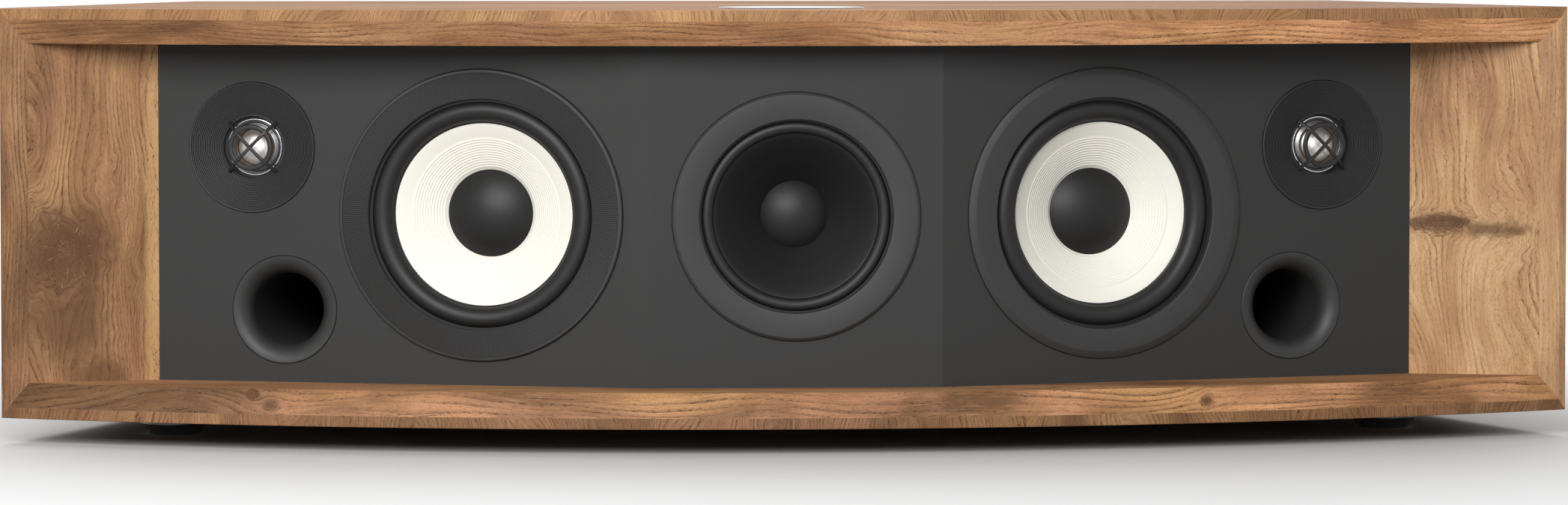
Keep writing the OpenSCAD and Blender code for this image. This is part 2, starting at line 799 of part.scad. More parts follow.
module line_sockets() color("gold") {
    for (i = [0:1])
        behind(sockets_x + i * socket_gap, socket_z)
            difference() {
                union() {
                    disc(socket_r - 0.05, -tray_wall - 6, socket_l);
                    disc(socket_r + 1.6, -tray_wall - 3, -tray_wall);
                }
                disc(1.6, 0, socket_l + cut);
            }
}

board_w = 110;
board_h = 70;
pcb_t = 1.6;
post_l = 16;
fin_count = 9;

sink_w = 60;
sink_h = 50;
sink_base = 4;
fin_t = 2;
fin_l = 18;

module amplifier_board() color("darkgreen") {
    pcb_y = tray_floor_y - tray_wall - post_l - pcb_t;
    translate([-board_w / 2, pcb_y, mid_z - board_h / 2]) cube([board_w, pcb_t, board_h]);
    for (x = [-1, 1])
        for (z = [-1, 1])
            translate([x * (board_w / 2 - 6), tray_floor_y - tray_wall, mid_z + z * (board_h / 2 - 6)])
                rotate([90, 0, 0])
                    cylinder(r = 3, h = post_l + pcb_t / 2);
    translate([-sink_w / 2, pcb_y - sink_base, mid_z - sink_h / 2])
        cube([sink_w, sink_base + pcb_t / 4, sink_h]);
    for (i = [0:fin_count - 1])
        translate([
            -sink_w / 2 + i * (sink_w - fin_t) / (fin_count - 1),
            pcb_y - sink_base - fin_l, mid_z - sink_h / 2
        ])
            cube([fin_t, fin_l + sink_base / 8, sink_h]);
}

module power_supply() color("darkgreen") {
    supply_w = 96;
    supply_d = 70;
    supply_y = 8;
    post = 6;
    coil_w = 38;
    coil_d = 40;
    coil_h = 32;
    can_r = 11;
    can_h = 30;
    part_gap = 4;
    translate([-supply_w / 2, supply_y - supply_d / 2, floor_z + post]) cube([supply_w, supply_d, pcb_t]);
    for (x = [-1, 1])
        for (y = [-1, 1])
            translate([x * (supply_w / 2 - 6), supply_y + y * (supply_d / 2 - 6), floor_z])
                cylinder(r = 3, h = post + pcb_t / 2);
    translate([part_gap - coil_w, supply_y - coil_d / 2, floor_z + post + pcb_t / 2])
        cube([coil_w, coil_d, coil_h]);
    for (i = [-1, 1])
        translate([2 * can_r, supply_y + i * (can_r + part_gap / 2), floor_z + post + pcb_t / 2])
            cylinder(r = can_r, h = can_h);
}

// Fasteners

module driver_screw() {
    top = -rebate + flange_t;
    disc(screw_head_r, top - screw_head_h, top);
    disc(screw_r, top - screw_head_h - screw_l, top - screw_head_h / 2);
}

module driver_screws() color("dimgray") {
    for (side = [-1, 1])
        on_facet(side, woofer_u, 0) screw_circle(bolt_r(woofer_ring_d, woofer_open_d)) driver_screw();
    on_middle() screw_circle(bolt_r(mid_ring_d, mid_open_d)) driver_screw();
}

module rear_screws() color("dimgray") {
    tray_screw_places() {
        translate([0, tray_wall, 0]) rotate([-90, 0, 0]) cylinder(r = screw_head_r, h = screw_head_h);
        translate([0, tray_wall + screw_head_h / 2, 0])
            rotate([90, 0, 0])
                cylinder(r = screw_r, h = screw_l + screw_head_h / 2);
    }
}

top_panel();
bottom_panel();
side_panel(-1);  // left_side_panel
side_panel(1);  // right_side_panel
cheek(-1);  // left_cheek
cheek(1);  // right_cheek
front_baffle();
rear_panel();
partition(-1);  // left_partition
partition(1);  // right_partition
touch_disc();
foot(-foot_u, front_foot_y);  // front_left_foot
foot(foot_u, front_foot_y);  // front_right_foot
foot(-rear_foot_u, rear_foot_y);  // rear_left_foot
foot(rear_foot_u, rear_foot_y);  // rear_right_foot
woofer_trim_ring(-1);  // left_woofer_trim_ring
woofer_basket(-1);  // left_woofer_basket
woofer_surround(-1);  // left_woofer_surround
woofer_cone(-1);  // left_woofer_cone
woofer_dust_cap(-1);  // left_woofer_dust_cap
woofer_voice_coil(-1);  // left_woofer_voice_coil
woofer_spider(-1);  // left_woofer_spider
woofer_motor(-1);  // left_woofer_motor
woofer_trim_ring(1);  // right_woofer_trim_ring
woofer_basket(1);  // right_woofer_basket
woofer_surround(1);  // right_woofer_surround
woofer_cone(1);  // right_woofer_cone
woofer_dust_cap(1);  // right_woofer_dust_cap
woofer_voice_coil(1);  // right_woofer_voice_coil
woofer_spider(1);  // right_woofer_spider
woofer_motor(1);  // right_woofer_motor
mid_trim_ring();
mid_basket();
mid_surround();
mid_cone();
mid_dust_cap();
mid_voice_coil();
mid_spider();
mid_motor();
tweeter_faceplate(-1);  // left_tweeter_faceplate
tweeter_guard(-1);  // left_tweeter_guard
tweeter_bezel(-1);  // left_tweeter_bezel
tweeter_surround(-1);  // left_tweeter_surround
tweeter_dome(-1);  // left_tweeter_dome
tweeter_motor(-1);  // left_tweeter_motor
tweeter_faceplate(1);  // right_tweeter_faceplate
tweeter_guard(1);  // right_tweeter_guard
tweeter_bezel(1);  // right_tweeter_bezel
tweeter_surround(1);  // right_tweeter_surround
tweeter_dome(1);  // right_tweeter_dome
tweeter_motor(1);  // right_tweeter_motor
port(-1);  // left_port
port(1);  // right_port
connector_panel();
mains_inlet();
line_sockets();
amplifier_board();
power_supply();
driver_screws();
rear_screws();
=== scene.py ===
# %% [markdown]
# # A wireless speaker in knotty oak
# The real thing is a long, low one-box stereo loudspeaker with a bowed front: oiled oak boards
# round a faceted dark grey baffle, two pale woofers, a black midrange, two small metal-domed
# tweeters and two bass ports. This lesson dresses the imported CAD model, piece by piece.
# The CAD model comes in first, because every new piece is placed by its numbers and rides on
# one of its bodies.

# %% The frame
import math

import bmesh
import bpy
from mathutils import Matrix, Vector


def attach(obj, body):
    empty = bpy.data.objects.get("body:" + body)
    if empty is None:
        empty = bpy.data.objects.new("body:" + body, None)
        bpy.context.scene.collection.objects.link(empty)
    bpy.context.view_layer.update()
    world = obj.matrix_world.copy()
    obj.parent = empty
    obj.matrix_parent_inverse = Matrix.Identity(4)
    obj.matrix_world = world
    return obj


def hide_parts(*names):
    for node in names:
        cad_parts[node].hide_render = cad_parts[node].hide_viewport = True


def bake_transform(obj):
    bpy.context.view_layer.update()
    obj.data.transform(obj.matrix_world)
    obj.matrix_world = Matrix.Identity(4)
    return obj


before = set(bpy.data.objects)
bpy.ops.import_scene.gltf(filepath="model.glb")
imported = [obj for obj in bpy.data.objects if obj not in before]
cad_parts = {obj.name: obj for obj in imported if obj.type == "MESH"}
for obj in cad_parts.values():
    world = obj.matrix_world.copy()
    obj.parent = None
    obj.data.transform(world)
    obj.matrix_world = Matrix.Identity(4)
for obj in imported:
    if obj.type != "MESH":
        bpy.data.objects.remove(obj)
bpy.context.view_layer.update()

# %% [markdown]
# ## The camera
# The photograph was taken from a little to the left and slightly above, with a long lens, so
# that the sides hardly converge. The camera is made before anything else: it shows which
# surfaces need the most care. The small shift is how a product photographer keeps the
# verticals upright while the object stays in the middle of the picture.

# %% Camera and colour view
bpy.context.scene.view_settings.view_transform = "Standard"
lens = bpy.data.cameras.new("product_camera")
lens.sensor_width = 36
lens.lens = 121.92
lens.shift_y = -0.0765
camera = bpy.data.objects.new("product_camera", lens)
camera.location = (-0.1538, -2.6314, 0.2513)
camera.rotation_euler = (math.radians(90 - 2.27), 0, math.radians(-3.366))
bpy.context.scene.collection.objects.link(camera)
bpy.context.scene.camera = camera
print("camera", [round(value, 3) for value in camera.location], "lens", lens.lens)

# %% [markdown]
# ## Sizes
# A cabinet maker works in millimetres and Blender in metres, so each size is written in
# millimetres, as on the CAD drawing, and multiplied by MM when it becomes a vertex. The names
# are those of the drawing: the board, the bow, the facets of the baffle.

# %% The drawing's numbers, in millimetres
MM = 0.001
FOOT_H = 13
CAB_W, CAB_H, CAB_D, BACK_W = 760, 197, 296, 594
BOW_R = 932
BOARD_T, SIDE_T, RIM_W, BEVEL_D = 17, 12.5, 5.3, 5
FLOOR_Z, ROOF_Z, TOP_Z = FOOT_H + BOARD_T, FOOT_H + CAB_H - BOARD_T, FOOT_H + CAB_H
MID_Z = (FLOOR_Z + ROOF_Z) / 2
FRONT_Y, BACK_Y = -CAB_D / 2, CAB_D / 2
BOW_Y = FRONT_Y + BOW_R
FACET_Y = FRONT_Y + 31
FACET_HALF, FACET_ANGLE = 70, math.radians(15)
SIDES = ((-1, "left"), (1, "right"))
# Places on a side facet: along it from the middle of the cabinet, and up from mid height
WOOFER_U = 149.7
TWEETER_U, TWEETER_UP = 259.5, 31.4
PORT_U, PORT_UP = 243.9, -46.6


def bow_at(x):
    """How far back the bowed front lies at x."""
    return BOW_Y - math.sqrt(BOW_R * BOW_R - x * x)


CORNER_Y = bow_at(CAB_W / 2)
SIDE_ANGLE = math.atan((CAB_W - BACK_W) / 2 / (BACK_Y - CORNER_Y))
print("corner at y", round(CORNER_Y, 2), "side angle", round(math.degrees(SIDE_ANGLE), 2))

# %% [markdown]
# ## Tools for materials
# Every finish here is procedural: a few nodes that turn a point of the object into a colour, a
# roughness and a small bump. One function adds a node, sets it and links it, which keeps each
# recipe short enough to read. Colours are written as on a paint chart, in sRGB hex, and made
# linear in one place.

# %% Colours and nodes


def srgb(code):
    """A paint-chart colour such as "#B08A5E" as the linear RGBA that a shader wants."""
    parts = [int(code[i:i + 2], 16) / 255 for i in (1, 3, 5)]
    return [p / 12.92 if p <= 0.04045 else ((p + 0.055) / 1.055) ** 2.4 for p in parts] + [1.0]


def add_node(tree, kind, sockets=None, stops=None, **settings):
    """Adds a shader node. sockets maps an input to a value, or to a node or output to link."""
    node = tree.nodes.new("ShaderNode" + kind)
    for name, value in settings.items():
        setattr(node, name, value)
    for name, value in (sockets or {}).items():
        if isinstance(value, bpy.types.Node):
            value = value.outputs[0]
        if isinstance(value, bpy.types.NodeSocket):
            tree.links.new(value, node.inputs[name])
        else:
            node.inputs[name].default_value = srgb(value) if isinstance(value, str) else value
    for number, (place, code) in enumerate(stops or []):
        bands = node.color_ramp.elements
        band = bands[number] if number < 2 else bands.new(place)
        band.position, band.color = place, srgb(code)
    return node


def calc(tree, operation, *values):
    """One arithmetic step."""
    return add_node(tree, "Math", dict(enumerate(values)), operation=operation).outputs[0]


def remap(tree, value, low, high, new_low=0.0, new_high=1.0, smooth=False):
    """Stretches a range of values to another one, with its ends held."""
    kind = "SMOOTHSTEP" if smooth else "LINEAR"
    return add_node(tree, "MapRange", {"Value": value, "From Min": low, "From Max": high,
                                       "To Min": new_low, "To Max": new_high},
                    interpolation_type=kind).outputs[0]


def tint(tree, share, below, above):
    """Lays one colour over another."""
    return add_node(tree, "Mix", {"Factor": share, 6: below, 7: above},
                    data_type="RGBA").outputs[2]


def new_finish(name, colour, roughness, **sockets):
    """A material with its constant values on the shader's own sockets."""
    material = bpy.data.materials.new(name)
    material.use_nodes = True
    shader = material.node_tree.nodes["Principled BSDF"]
    shader.inputs["Base Color"].default_value = srgb(colour)
    shader.inputs["Roughness"].default_value = roughness
    for socket, value in sockets.items():
        shader.inputs[socket.replace("_", " ")].default_value = value
    return material


# %% [markdown]
# ## Moulded, painted and cast surfaces
# Plastic, paint, rubber and castings are never one flat tone: the mould leaves a fine grit,
# hands and dust make some places glossier. An image could carry that, but it would stretch on
# a turned part. One function lays it over any finish instead: a noise at the size of the grit,
# in millimetres, moves the colour a little towards a second tone, varies the roughness, and
# lifts the surface by a few hundredths of a millimetre. The noise is read in the object's own
# coordinates, so it has the same size on every piece.

# %% Grit
CLOUD_MM = 60
MOTTLE = 0.5


def gritty(name, colour, tone, grit_mm, rough, lift_mm, **sockets):
    """A finish mottled towards a second tone at the size of its grit."""
    material = new_finish(name, colour, rough[0], **sockets)
    tree = material.node_tree
    shader = tree.nodes["Principled BSDF"]
    place = add_node(tree, "TexCoord").outputs["Object"]
    grit = add_node(tree, "TexNoise", {"Vector": place, "Scale": 1 / (grit_mm * MM), "Detail": 3.0})
    cloud = add_node(tree, "TexNoise", {"Vector": place, "Scale": 1 / (CLOUD_MM * MM), "Detail": 2.0})
    share = remap(tree, calc(tree, "MULTIPLY", grit, cloud), 0.12, 0.4, 0.0, MOTTLE)
    tree.links.new(tint(tree, share, colour, tone), shader.inputs["Base Color"])
    tree.links.new(remap(tree, cloud, 0.3, 0.7, *rough), shader.inputs["Roughness"])
    bump = add_node(tree, "Bump", {"Strength": 1.0, "Distance": lift_mm * MM, "Height": grit})
    tree.links.new(bump.outputs[0], shader.inputs["Normal"])
    return material


# %% Paints and plastics
# Sprayed satin paint: hardly a highlight, so the three facets read as three plain greys
baffle_paint = gritty("satin_painted_fibreboard", "#313131", "#373635", 0.9, (0.56, 0.64), 0.02,
                      Specular_IOR_Level=0.25)
# Rolled paint on the back, a little coarser
rear_paint = gritty("black_painted_fibreboard", "#232324", "#2B2B2C", 0.9, (0.5, 0.6), 0.03)
# Spark-eroded ABS: a fine even grit that softens the edge of each highlight
ring_abs = gritty("moulded_abs_ring", "#333333", "#3A3A3A", 0.8, (0.45, 0.55), 0.015,
                  Specular_IOR_Level=0.3)
faceplate_abs = gritty("moulded_abs_faceplate", "#2A2A2A", "#313131", 0.8, (0.5, 0.58), 0.01,
                       Specular_IOR_Level=0.3)
guard_abs = gritty("moulded_abs_guard", "#272727", "#292928", 0.6, (0.35, 0.45), 0.01,
                   Specular_IOR_Level=0.3)
port_abs = gritty("moulded_abs_port", "#2B2B2B", "#313131", 0.8, (0.42, 0.5), 0.01,
                  Specular_IOR_Level=0.4)
tray_abs = gritty("textured_abs_tray", "#1B1B1C", "#252526", 0.7, (0.5, 0.62), 0.04)
inlet_plastic = gritty("smooth_inlet_nylon", "#111112", "#19191A", 0.8, (0.3, 0.4), 0.01)
# Polished mouldings: sharp reflections, and a clear coat on the feet doubles them. The feet are gloss
# black: their mid grey base is painted light, standing in for the light and reflections they catch
foot_plastic = gritty("gloss_moulded_foot", "#5C5C5E", "#666668", 2.0, (0.1, 0.16), 0.004,
                      Specular_IOR_Level=1.0, Coat_Weight=1.0)
touch_acrylic = gritty("polished_acrylic_disc", "#0B0B0C", "#101012", 3.0, (0.04, 0.08), 0.002)
# Bare fibreboard swallows light, and its fibres show as a coarse mottle
raw_board = gritty("raw_fibreboard", "#8C7355", "#9C8262", 0.7, (0.75, 0.9), 0.06)
circuit = gritty("green_solder_mask", "#1E4D33", "#276040", 1.0, (0.3, 0.45), 0.02)
print("paints and plastics", len(bpy.data.materials))

# %% Rubber, paper and cloth
# Butyl rubber is nearly black, and only a broad dull highlight shows its half roll
surround_rubber = gritty("butyl_rubber_surround", "#151515", "#1B1B1B", 0.7, (0.46, 0.54), 0.01,
                         Specular_IOR_Level=0.35)
cap_rubber = gritty("dipped_dust_cap", "#111111", "#1B1A19", 0.6, (0.44, 0.5), 0.01,
                    Specular_IOR_Level=0.32)
# Coated paper is warm white and matt, with the felt of its fibres just visible
pale_paper = gritty("coated_paper_cone", "#F4F1E6", "#F8F6EC", 1.2, (0.55, 0.65), 0.015)
black_paper = gritty("black_paper_cone", "#0D0D0D", "#131313", 1.0, (0.55, 0.65), 0.015,
                     Specular_IOR_Level=0.2)
# Resin turns the weave of the spider yellow and stiff
spider_cloth = gritty("resined_cotton_spider", "#C2AE78", "#A8945F", 0.8, (0.8, 0.95), 0.1)

# %% Metals


def metal(name, colour, tone, grit_mm, rough, lift_mm):
    """Bare metal: its colour is the colour of what it mirrors."""
    return gritty(name, colour, tone, grit_mm, rough, lift_mm, Metallic=1.0)


# Cast and plated parts scatter what they mirror, chrome and gold keep it sharp
cast_basket = metal("cast_aluminium_basket", "#6E6F72", "#7C7D80", 1.2, (0.45, 0.6), 0.04)
plated_motor = metal("black_plated_steel", "#3A3A3C", "#464648", 1.5, (0.35, 0.5), 0.02)
screw_zinc = metal("black_zinc_screw", "#4A4A4C", "#58585A", 0.5, (0.3, 0.4), 0.01)
chrome = metal("chromed_bezel", "#E4E4E6", "#D6D6D9", 0.8, (0.07, 0.14), 0.002)
gold_plate = metal("gold_plated_socket", "#E3BE66", "#D4AC54", 0.6, (0.18, 0.28), 0.004)
# Drawn aluminium and brushed nickel: the light spreads into a soft patch
dome_alloy = metal("drawn_aluminium_dome", "#EFEDE8", "#E4E1DB", 1.0, (0.38, 0.44), 0.003)
satin_nickel = metal("satin_nickel_cone", "#88888A", "#7A7A7C", 0.8, (0.32, 0.4), 0.003)
# Enamelled wire is clear varnish over copper, and the tinted edge hides its metal
copper_wire = metal("enamelled_copper_coil", "#B4713A", "#A06030", 0.5, (0.28, 0.4), 0.03)
bronze = gritty("bronze_tinted_edge", "#54402F", "#443425", 0.6, (0.4, 0.5), 0.01)
print("finishes", len(bpy.data.materials))

# %% [markdown]
# ## Knotty oak
# Oak is open-pored: each year's ring starts with a row of large pores, a sharp dark line that
# fades outwards, and the grain flows round a knot as water flows round a stone. A picture of
# wood would be the quick way, but every board would show the same picture. Here the flow is
# worked out instead, with the formula for a stream round a cylinder, and every layer of the
# wood is drawn in the bent coordinates: broad tone, ring lines, fibres, pores. The knot's own
# rings and cracks use the distance and the angle from its heart. The oil is thin and matt, so
# the wood keeps its depth of colour.

# %% The flow of the grain


def noise_at(tree, u, v, depth, sizes_mm, detail, offset):
    """Noise whose grain has the given size in millimetres along each direction."""
    place = add_node(tree, "CombineXYZ", {
        n: calc(tree, "MULTIPLY_ADD", value, 1 / size, offset + 0.37 * n)
        for n, (value, size) in enumerate(zip((u, v, depth), sizes_mm))})
    return add_node(tree, "TexNoise", {"Vector": place, "Scale": 1.0, "Detail": detail,
                                       "Roughness": 0.6}).outputs[0]


def ragged_edge(tree, length, noise, squash):
    """Tears the outline of a knot. The flatter the knot is, the more ragged it is."""
    tear = min(0.26, 0.1 * squash)
    return calc(tree, "MULTIPLY", length,
                remap(tree, noise, 0.3, 0.7, 1 - 1.5 * tear, 1 + 2.3 * tear))


def from_heart(tree, u, v):
    """The offset from a heart as a vector, and its length."""
    off = add_node(tree, "CombineXYZ", {0: u, 1: v})
    return off, add_node(tree, "VectorMath", {0: off}, operation="LENGTH").outputs["Value"]


def around_knot(tree, start_u, start_v, u, v, knot):
    """Bends the grain round one knot. Gives the bent u and v, the darkness and the cracks."""
    knot_u, knot_v, radius, squash = knot
    from_u = calc(tree, "SUBTRACT", start_u, knot_u)
    from_v = calc(tree, "SUBTRACT", start_v, knot_v)
    low_v = calc(tree, "MULTIPLY", from_v, squash)
    off, length = from_heart(tree, from_u, low_v)
    ragged = add_node(tree, "TexNoise", {"Vector": off, "Scale": 0.1, "Detail": 1.0})
    length = calc(tree, "MULTIPLY", length, remap(tree, ragged, 0.1, 0.9, 0.6, 1.45))
    ratio = calc(tree, "DIVIDE", radius, length)
    pull = calc(tree, "MINIMUM", calc(tree, "MULTIPLY", ratio, ratio), 1.0)
    u = calc(tree, "SUBTRACT", u, calc(tree, "MULTIPLY", from_u, pull))
    v = calc(tree, "ADD", v, calc(tree, "MULTIPLY", from_v, pull))
    inside = calc(tree, "MINIMUM", calc(tree, "SUBTRACT", length, radius), 0.0)
    u = calc(tree, "ADD", u, inside)
    torn = add_node(tree, "TexNoise", {"Vector": off, "Scale": 0.5, "Detail": 5.0})
    edge = ragged_edge(tree, length, torn, squash)
    angle = calc(tree, "ARCTAN2", low_v, from_u)
    ray = add_node(tree, "CombineXYZ", {0: calc(tree, "MULTIPLY", angle, 5.0),
                                        1: calc(tree, "MULTIPLY", length, 0.06)})
    rays = add_node(tree, "TexNoise", {"Vector": ray, "Scale": 2.4, "Detail": 3.0})
    crack = calc(tree, "MULTIPLY", remap(tree, rays, 0.63, 0.7),
                 remap(tree, length, radius * 0.6, radius * 1.05, max(0.0, (radius - 5) / 11), 0.0))
    dark = remap(tree, edge, radius * 0.4, radius * 1.5, 1.0, 0.0, smooth=True)
    return u, v, dark, crack


# %% Rings and stains


def ring_lines(tree, u, waves, fibres, strength, ring_mm):
    """A ring starts with a sharp dark line that fades across the year's growth."""
    years = calc(tree, "MULTIPLY_ADD", waves, 14 / ring_mm, calc(tree, "MULTIPLY", u, 0.8 / ring_mm))
    year = calc(tree, "FRACT", calc(tree, "MULTIPLY_ADD", fibres, 0.5, years))
    line = calc(tree, "MULTIPLY", remap(tree, year, 0.0, 0.6, 1.0, 0.0, smooth=True),
                remap(tree, year, 0.9, 1.0, 1.0, 0.4))
    return calc(tree, "MULTIPLY", line, remap(tree, strength, 0.36, 0.62, 0.15, 1.0))


def stained(tree, colour, u, start, spot, drift):
    """Lays one patch of brown heartwood over the colour. start is the place before bending."""
    start_u, start_v, depth = start
    spot_u, spot_v, radius, squash = spot
    low_v = calc(tree, "MULTIPLY", calc(tree, "SUBTRACT", start_v, spot_v), squash)
    far = from_heart(tree, calc(tree, "SUBTRACT", u, spot_u), low_v)[1]
    torn = noise_at(tree, start_u, start_v, depth, [radius / 5] * 3, 5.0, drift + 29.0)
    far = ragged_edge(tree, far, torn, squash)
    return tint(tree, remap(tree, far, radius * 0.2, radius, 0.75, 0.0, smooth=True), colour,
                HEARTWOOD)


# %% The oak recipe
BLUSH, SAPWOOD, HEARTWOOD = "#B88464", "#CFA672", "#583A24"


def oak(name, across, along, tones, knots=(), slant_blocks=0.0, ring_mm=2.4, drift=0.0,
        sway_mm=16, streak_mm=120, sap=None, stains=(), paler_and_painted_light=()):
    """Oiled oak with its grain along one object axis. Knots and stains are (across, along,
    radius, squash along), in mm, sap is the place where the pale sapwood starts, and each
    brightened stretch is its start and end along the grain and how much more light it returns.
    That gain is partly a paler wood and partly painted light, which lifts the bevels where the
    lamps reach them less."""
    material = new_finish(name, tones[0], 0.55, Specular_IOR_Level=0.25)
    tree = material.node_tree
    shader = tree.nodes["Principled BSDF"]
    place = add_node(tree, "TexCoord").outputs["Object"]
    in_mm = add_node(tree, "VectorMath", {0: place, 1: (1000, 1000, 1000)}, operation="MULTIPLY")
    xyz = add_node(tree, "SeparateXYZ", {0: in_mm})
    start_u, start_v = xyz.outputs[across], xyz.outputs[along]
    depth = xyz.outputs[({"X", "Y", "Z"} - {across, along}).pop()]
    wander = noise_at(tree, start_u, start_v, depth, (45, 120, 70), 1.0, drift)
    shift = remap(tree, wander, 0.2, 0.8, -sway_mm, sway_mm)
    u, v = calc(tree, "ADD", start_u, shift), start_v
    dark, crack = 0.0, 0.0
    for knot in knots:
        u, v, knot_dark, knot_crack = around_knot(tree, start_u, start_v, u, v, knot)
        dark = calc(tree, "MAXIMUM", dark, knot_dark)
        crack = calc(tree, "MAXIMUM", crack, knot_crack)
    if slant_blocks:
        # Edge veneer in short lengths: each one has its own lean and tone
        block = add_node(tree, "TexVoronoi", {
            "W": calc(tree, "MULTIPLY_ADD", start_u, 1 / slant_blocks, drift), "Scale": 1.0},
            voronoi_dimensions="1D")
        chance = add_node(tree, "SeparateXYZ", {0: block.outputs["Color"]})
        u = calc(tree, "MULTIPLY_ADD", v, remap(tree, chance, 0, 1, -0.5, 0.5), u)

    def layer(across_mm, along_mm, detail, turn):
        return noise_at(tree, u, v, depth, (across_mm, along_mm, along_mm), detail, drift + turn)

    broad = layer(22, streak_mm, 3.0, 1.0)
    strength = layer(9, 70, 2.0, 5.0)
    fibres = layer(0.42, 13, 3.0, 9.0)
    pores = layer(0.3, 2.4, 2.0, 13.0)
    speckle = layer(0.5, 0.7, 2.0, 17.0)
    blush = noise_at(tree, start_u, start_v, depth, (30, 55, 40), 2.0, drift + 21.0)
    waves = layer(20, 130, 1.0, 25.0)
    line = ring_lines(tree, u, waves, fibres, strength, ring_mm)
    colour = add_node(tree, "ValToRGB", {"Fac": broad}, stops=[
        (0.34, tones[2]), (0.64, tones[0]), (0.47, tones[1])])
    if slant_blocks:
        colour = tint(tree, chance.outputs["Y"], colour, tones[1])
    colour = tint(tree, remap(tree, blush, 0.45, 0.65, 0.0, 0.45), colour, BLUSH)
    colour = tint(tree, calc(tree, "MULTIPLY", line, 0.8), colour, tones[2])
    colour = tint(tree, remap(tree, fibres, 0.52, 0.75, 0.0, 0.7), colour, tones[3])
    colour = tint(tree, remap(tree, fibres, 0.46, 0.25, 0.0, 0.6), colour, tones[0])
    colour = tint(tree, remap(tree, speckle, 0.45, 0.75, 0.0, 0.5), colour, tones[3])
    # Painted light in part: each stretch lifts the colour where the lamps light a bevel less, on top
    # of a paler wood
    for start, end, gain in paler_and_painted_light:
        lift = remap(tree, start_v, start, end, 1.0, gain, smooth=True)
        colour = add_node(tree, "VectorMath", {0: colour, "Scale": lift},
                          operation="SCALE").outputs[0]
    if sap:
        strip = remap(tree, start_u, sap, sap + 3, 0.0, 0.55)
        colour = tint(tree, strip, colour, SAPWOOD)
    pore = calc(tree, "MULTIPLY", remap(tree, pores, 0.57, 0.64),
                remap(tree, line, 0.05, 0.6, 0.3, 0.85))
    colour = tint(tree, pore, colour, tones[4])
    for spot in stains:
        colour = stained(tree, colour, u, (start_u, start_v, depth), spot, drift)
    if knots:
        mottle = remap(tree, calc(tree, "MULTIPLY_ADD", strength, 0.5, speckle), 0.5, 0.9, 0.6, 1.0)
        colour = tint(tree, calc(tree, "MULTIPLY", dark, mottle), colour, HEARTWOOD)
        colour = tint(tree, crack, colour, BLUSH)
    tree.links.new(colour, shader.inputs["Base Color"])
    tree.links.new(remap(tree, fibres, 0.3, 0.7, 0.5, 0.64), shader.inputs["Roughness"])
    height = calc(tree, "SUBTRACT", fibres, pore)
    bump = add_node(tree, "Bump", {"Strength": 0.8, "Distance": 0.12 * MM, "Height": height})
    tree.links.new(bump.outputs[0], shader.inputs["Normal"])
    return material


# %% The woods of this cabinet
# Tones: light, middle, dark ring, fibre, pore
WARM = ("#BC9165", "#9A714B", "#6F4B31", "#7D5637", "#452F1E")
BROWN = ("#CB9C6F", "#9C6E49", "#6C4A32", "#7C5638", "#3E2B1C")
PALE = ("#E6BF8F", "#C99C6E", "#966C4D", "#A67A54", "#5F4430")
TAN = ("#C89C6A", "#AA8056", "#7F583A", "#8C6341", "#513A27")
DUSK = ("#B58A60", "#87613F", "#5E412A", "#6D4B31", "#38271A")
UMBER = ("#967049", "#715034", "#503723", "#5C3F29", "#2E2016")
LIGHT = ("#EBC798", "#D8AE80", "#B08662", "#BC9068", "#7A5A40")
oak_face_x = oak("oiled_oak_grain_along", "Y", "X", WARM, drift=3.1, streak_mm=420)
oak_side_left = oak("oiled_oak_left_side", "Y", "Z", WARM, drift=7.3, streak_mm=240)
oak_side_right = oak("oiled_oak_right_side", "Y", "Z", WARM, drift=9.9, streak_mm=240)
oak_top_rim = oak("oiled_oak_top_rim", "X", "Z", TAN, slant_blocks=70, ring_mm=1.6, drift=1.3)
oak_bottom_rim = oak("oiled_oak_bottom_rim", "X", "Z", DUSK, slant_blocks=55, ring_mm=1.6,
                     drift=5.3)
# The bevels' lifted stretches are partly a paler wood and partly painted light, where the lamps reach
# the bevels less
oak_top_bevel = oak("oiled_oak_top_bevel", "Z", "X", BROWN, ring_mm=2.0, drift=2.7, sway_mm=5,
                    paler_and_painted_light=((-150, 0, 1.3), (50, 300, 1.9)))
oak_bottom_bevel = oak("oiled_oak_bottom_bevel", "Z", "X", UMBER, drift=6.6, sway_mm=6,
                       knots=((27.6, -258, 2.7, 0.8), (22.4, -250, 2.4, 0.6), (23.4, 195, 2.8, 0.8)),
                       paler_and_painted_light=((-262, -238, 1.9), (100, 260, 1.25)))
oak_left_cheek = oak("oiled_oak_left_cheek", "X", "Z", WARM, drift=11.2,
                     knots=((-348.3, 93.1, 14, 0.8),), sap=-312.5,
                     stains=((-352, 58, 32, 1), (-336, 30, 22, 1), (-348, 94, 27, 0.75)))
oak_right_cheek = oak("oiled_oak_right_cheek", "X", "Z", PALE, drift=14.6,
                      knots=((321, 104, 12, 2.3),),
                      stains=((322, 104.5, 14, 2.3), (343, 101, 26, 4.5)))
oak_left_front = oak("oiled_oak_left_front", "X", "Z", DUSK, drift=16.4, ring_mm=1.8, sway_mm=4)
oak_right_front = oak("oiled_oak_right_front", "X", "Z", LIGHT, drift=18.3, ring_mm=1.8, sway_mm=4)
print("oak finishes", sum(m.name.startswith("oiled_oak") for m in bpy.data.materials))

# %% [markdown]
# ## Tools for pieces
# Nearly every part of a loudspeaker is turned or pressed, so most pieces here are one outline
# spun round its axis. A piece is finished in one place: its doubles are merged and its normals
# made to point outwards, its hard edges are marked by their angle, and it is hung on the CAD
# body that carries it, in place of the plain CAD nodes. A piece given a blend is only set in
# place and hangs on no body.

# %% Spin and finish
WELD = 0.002 * MM


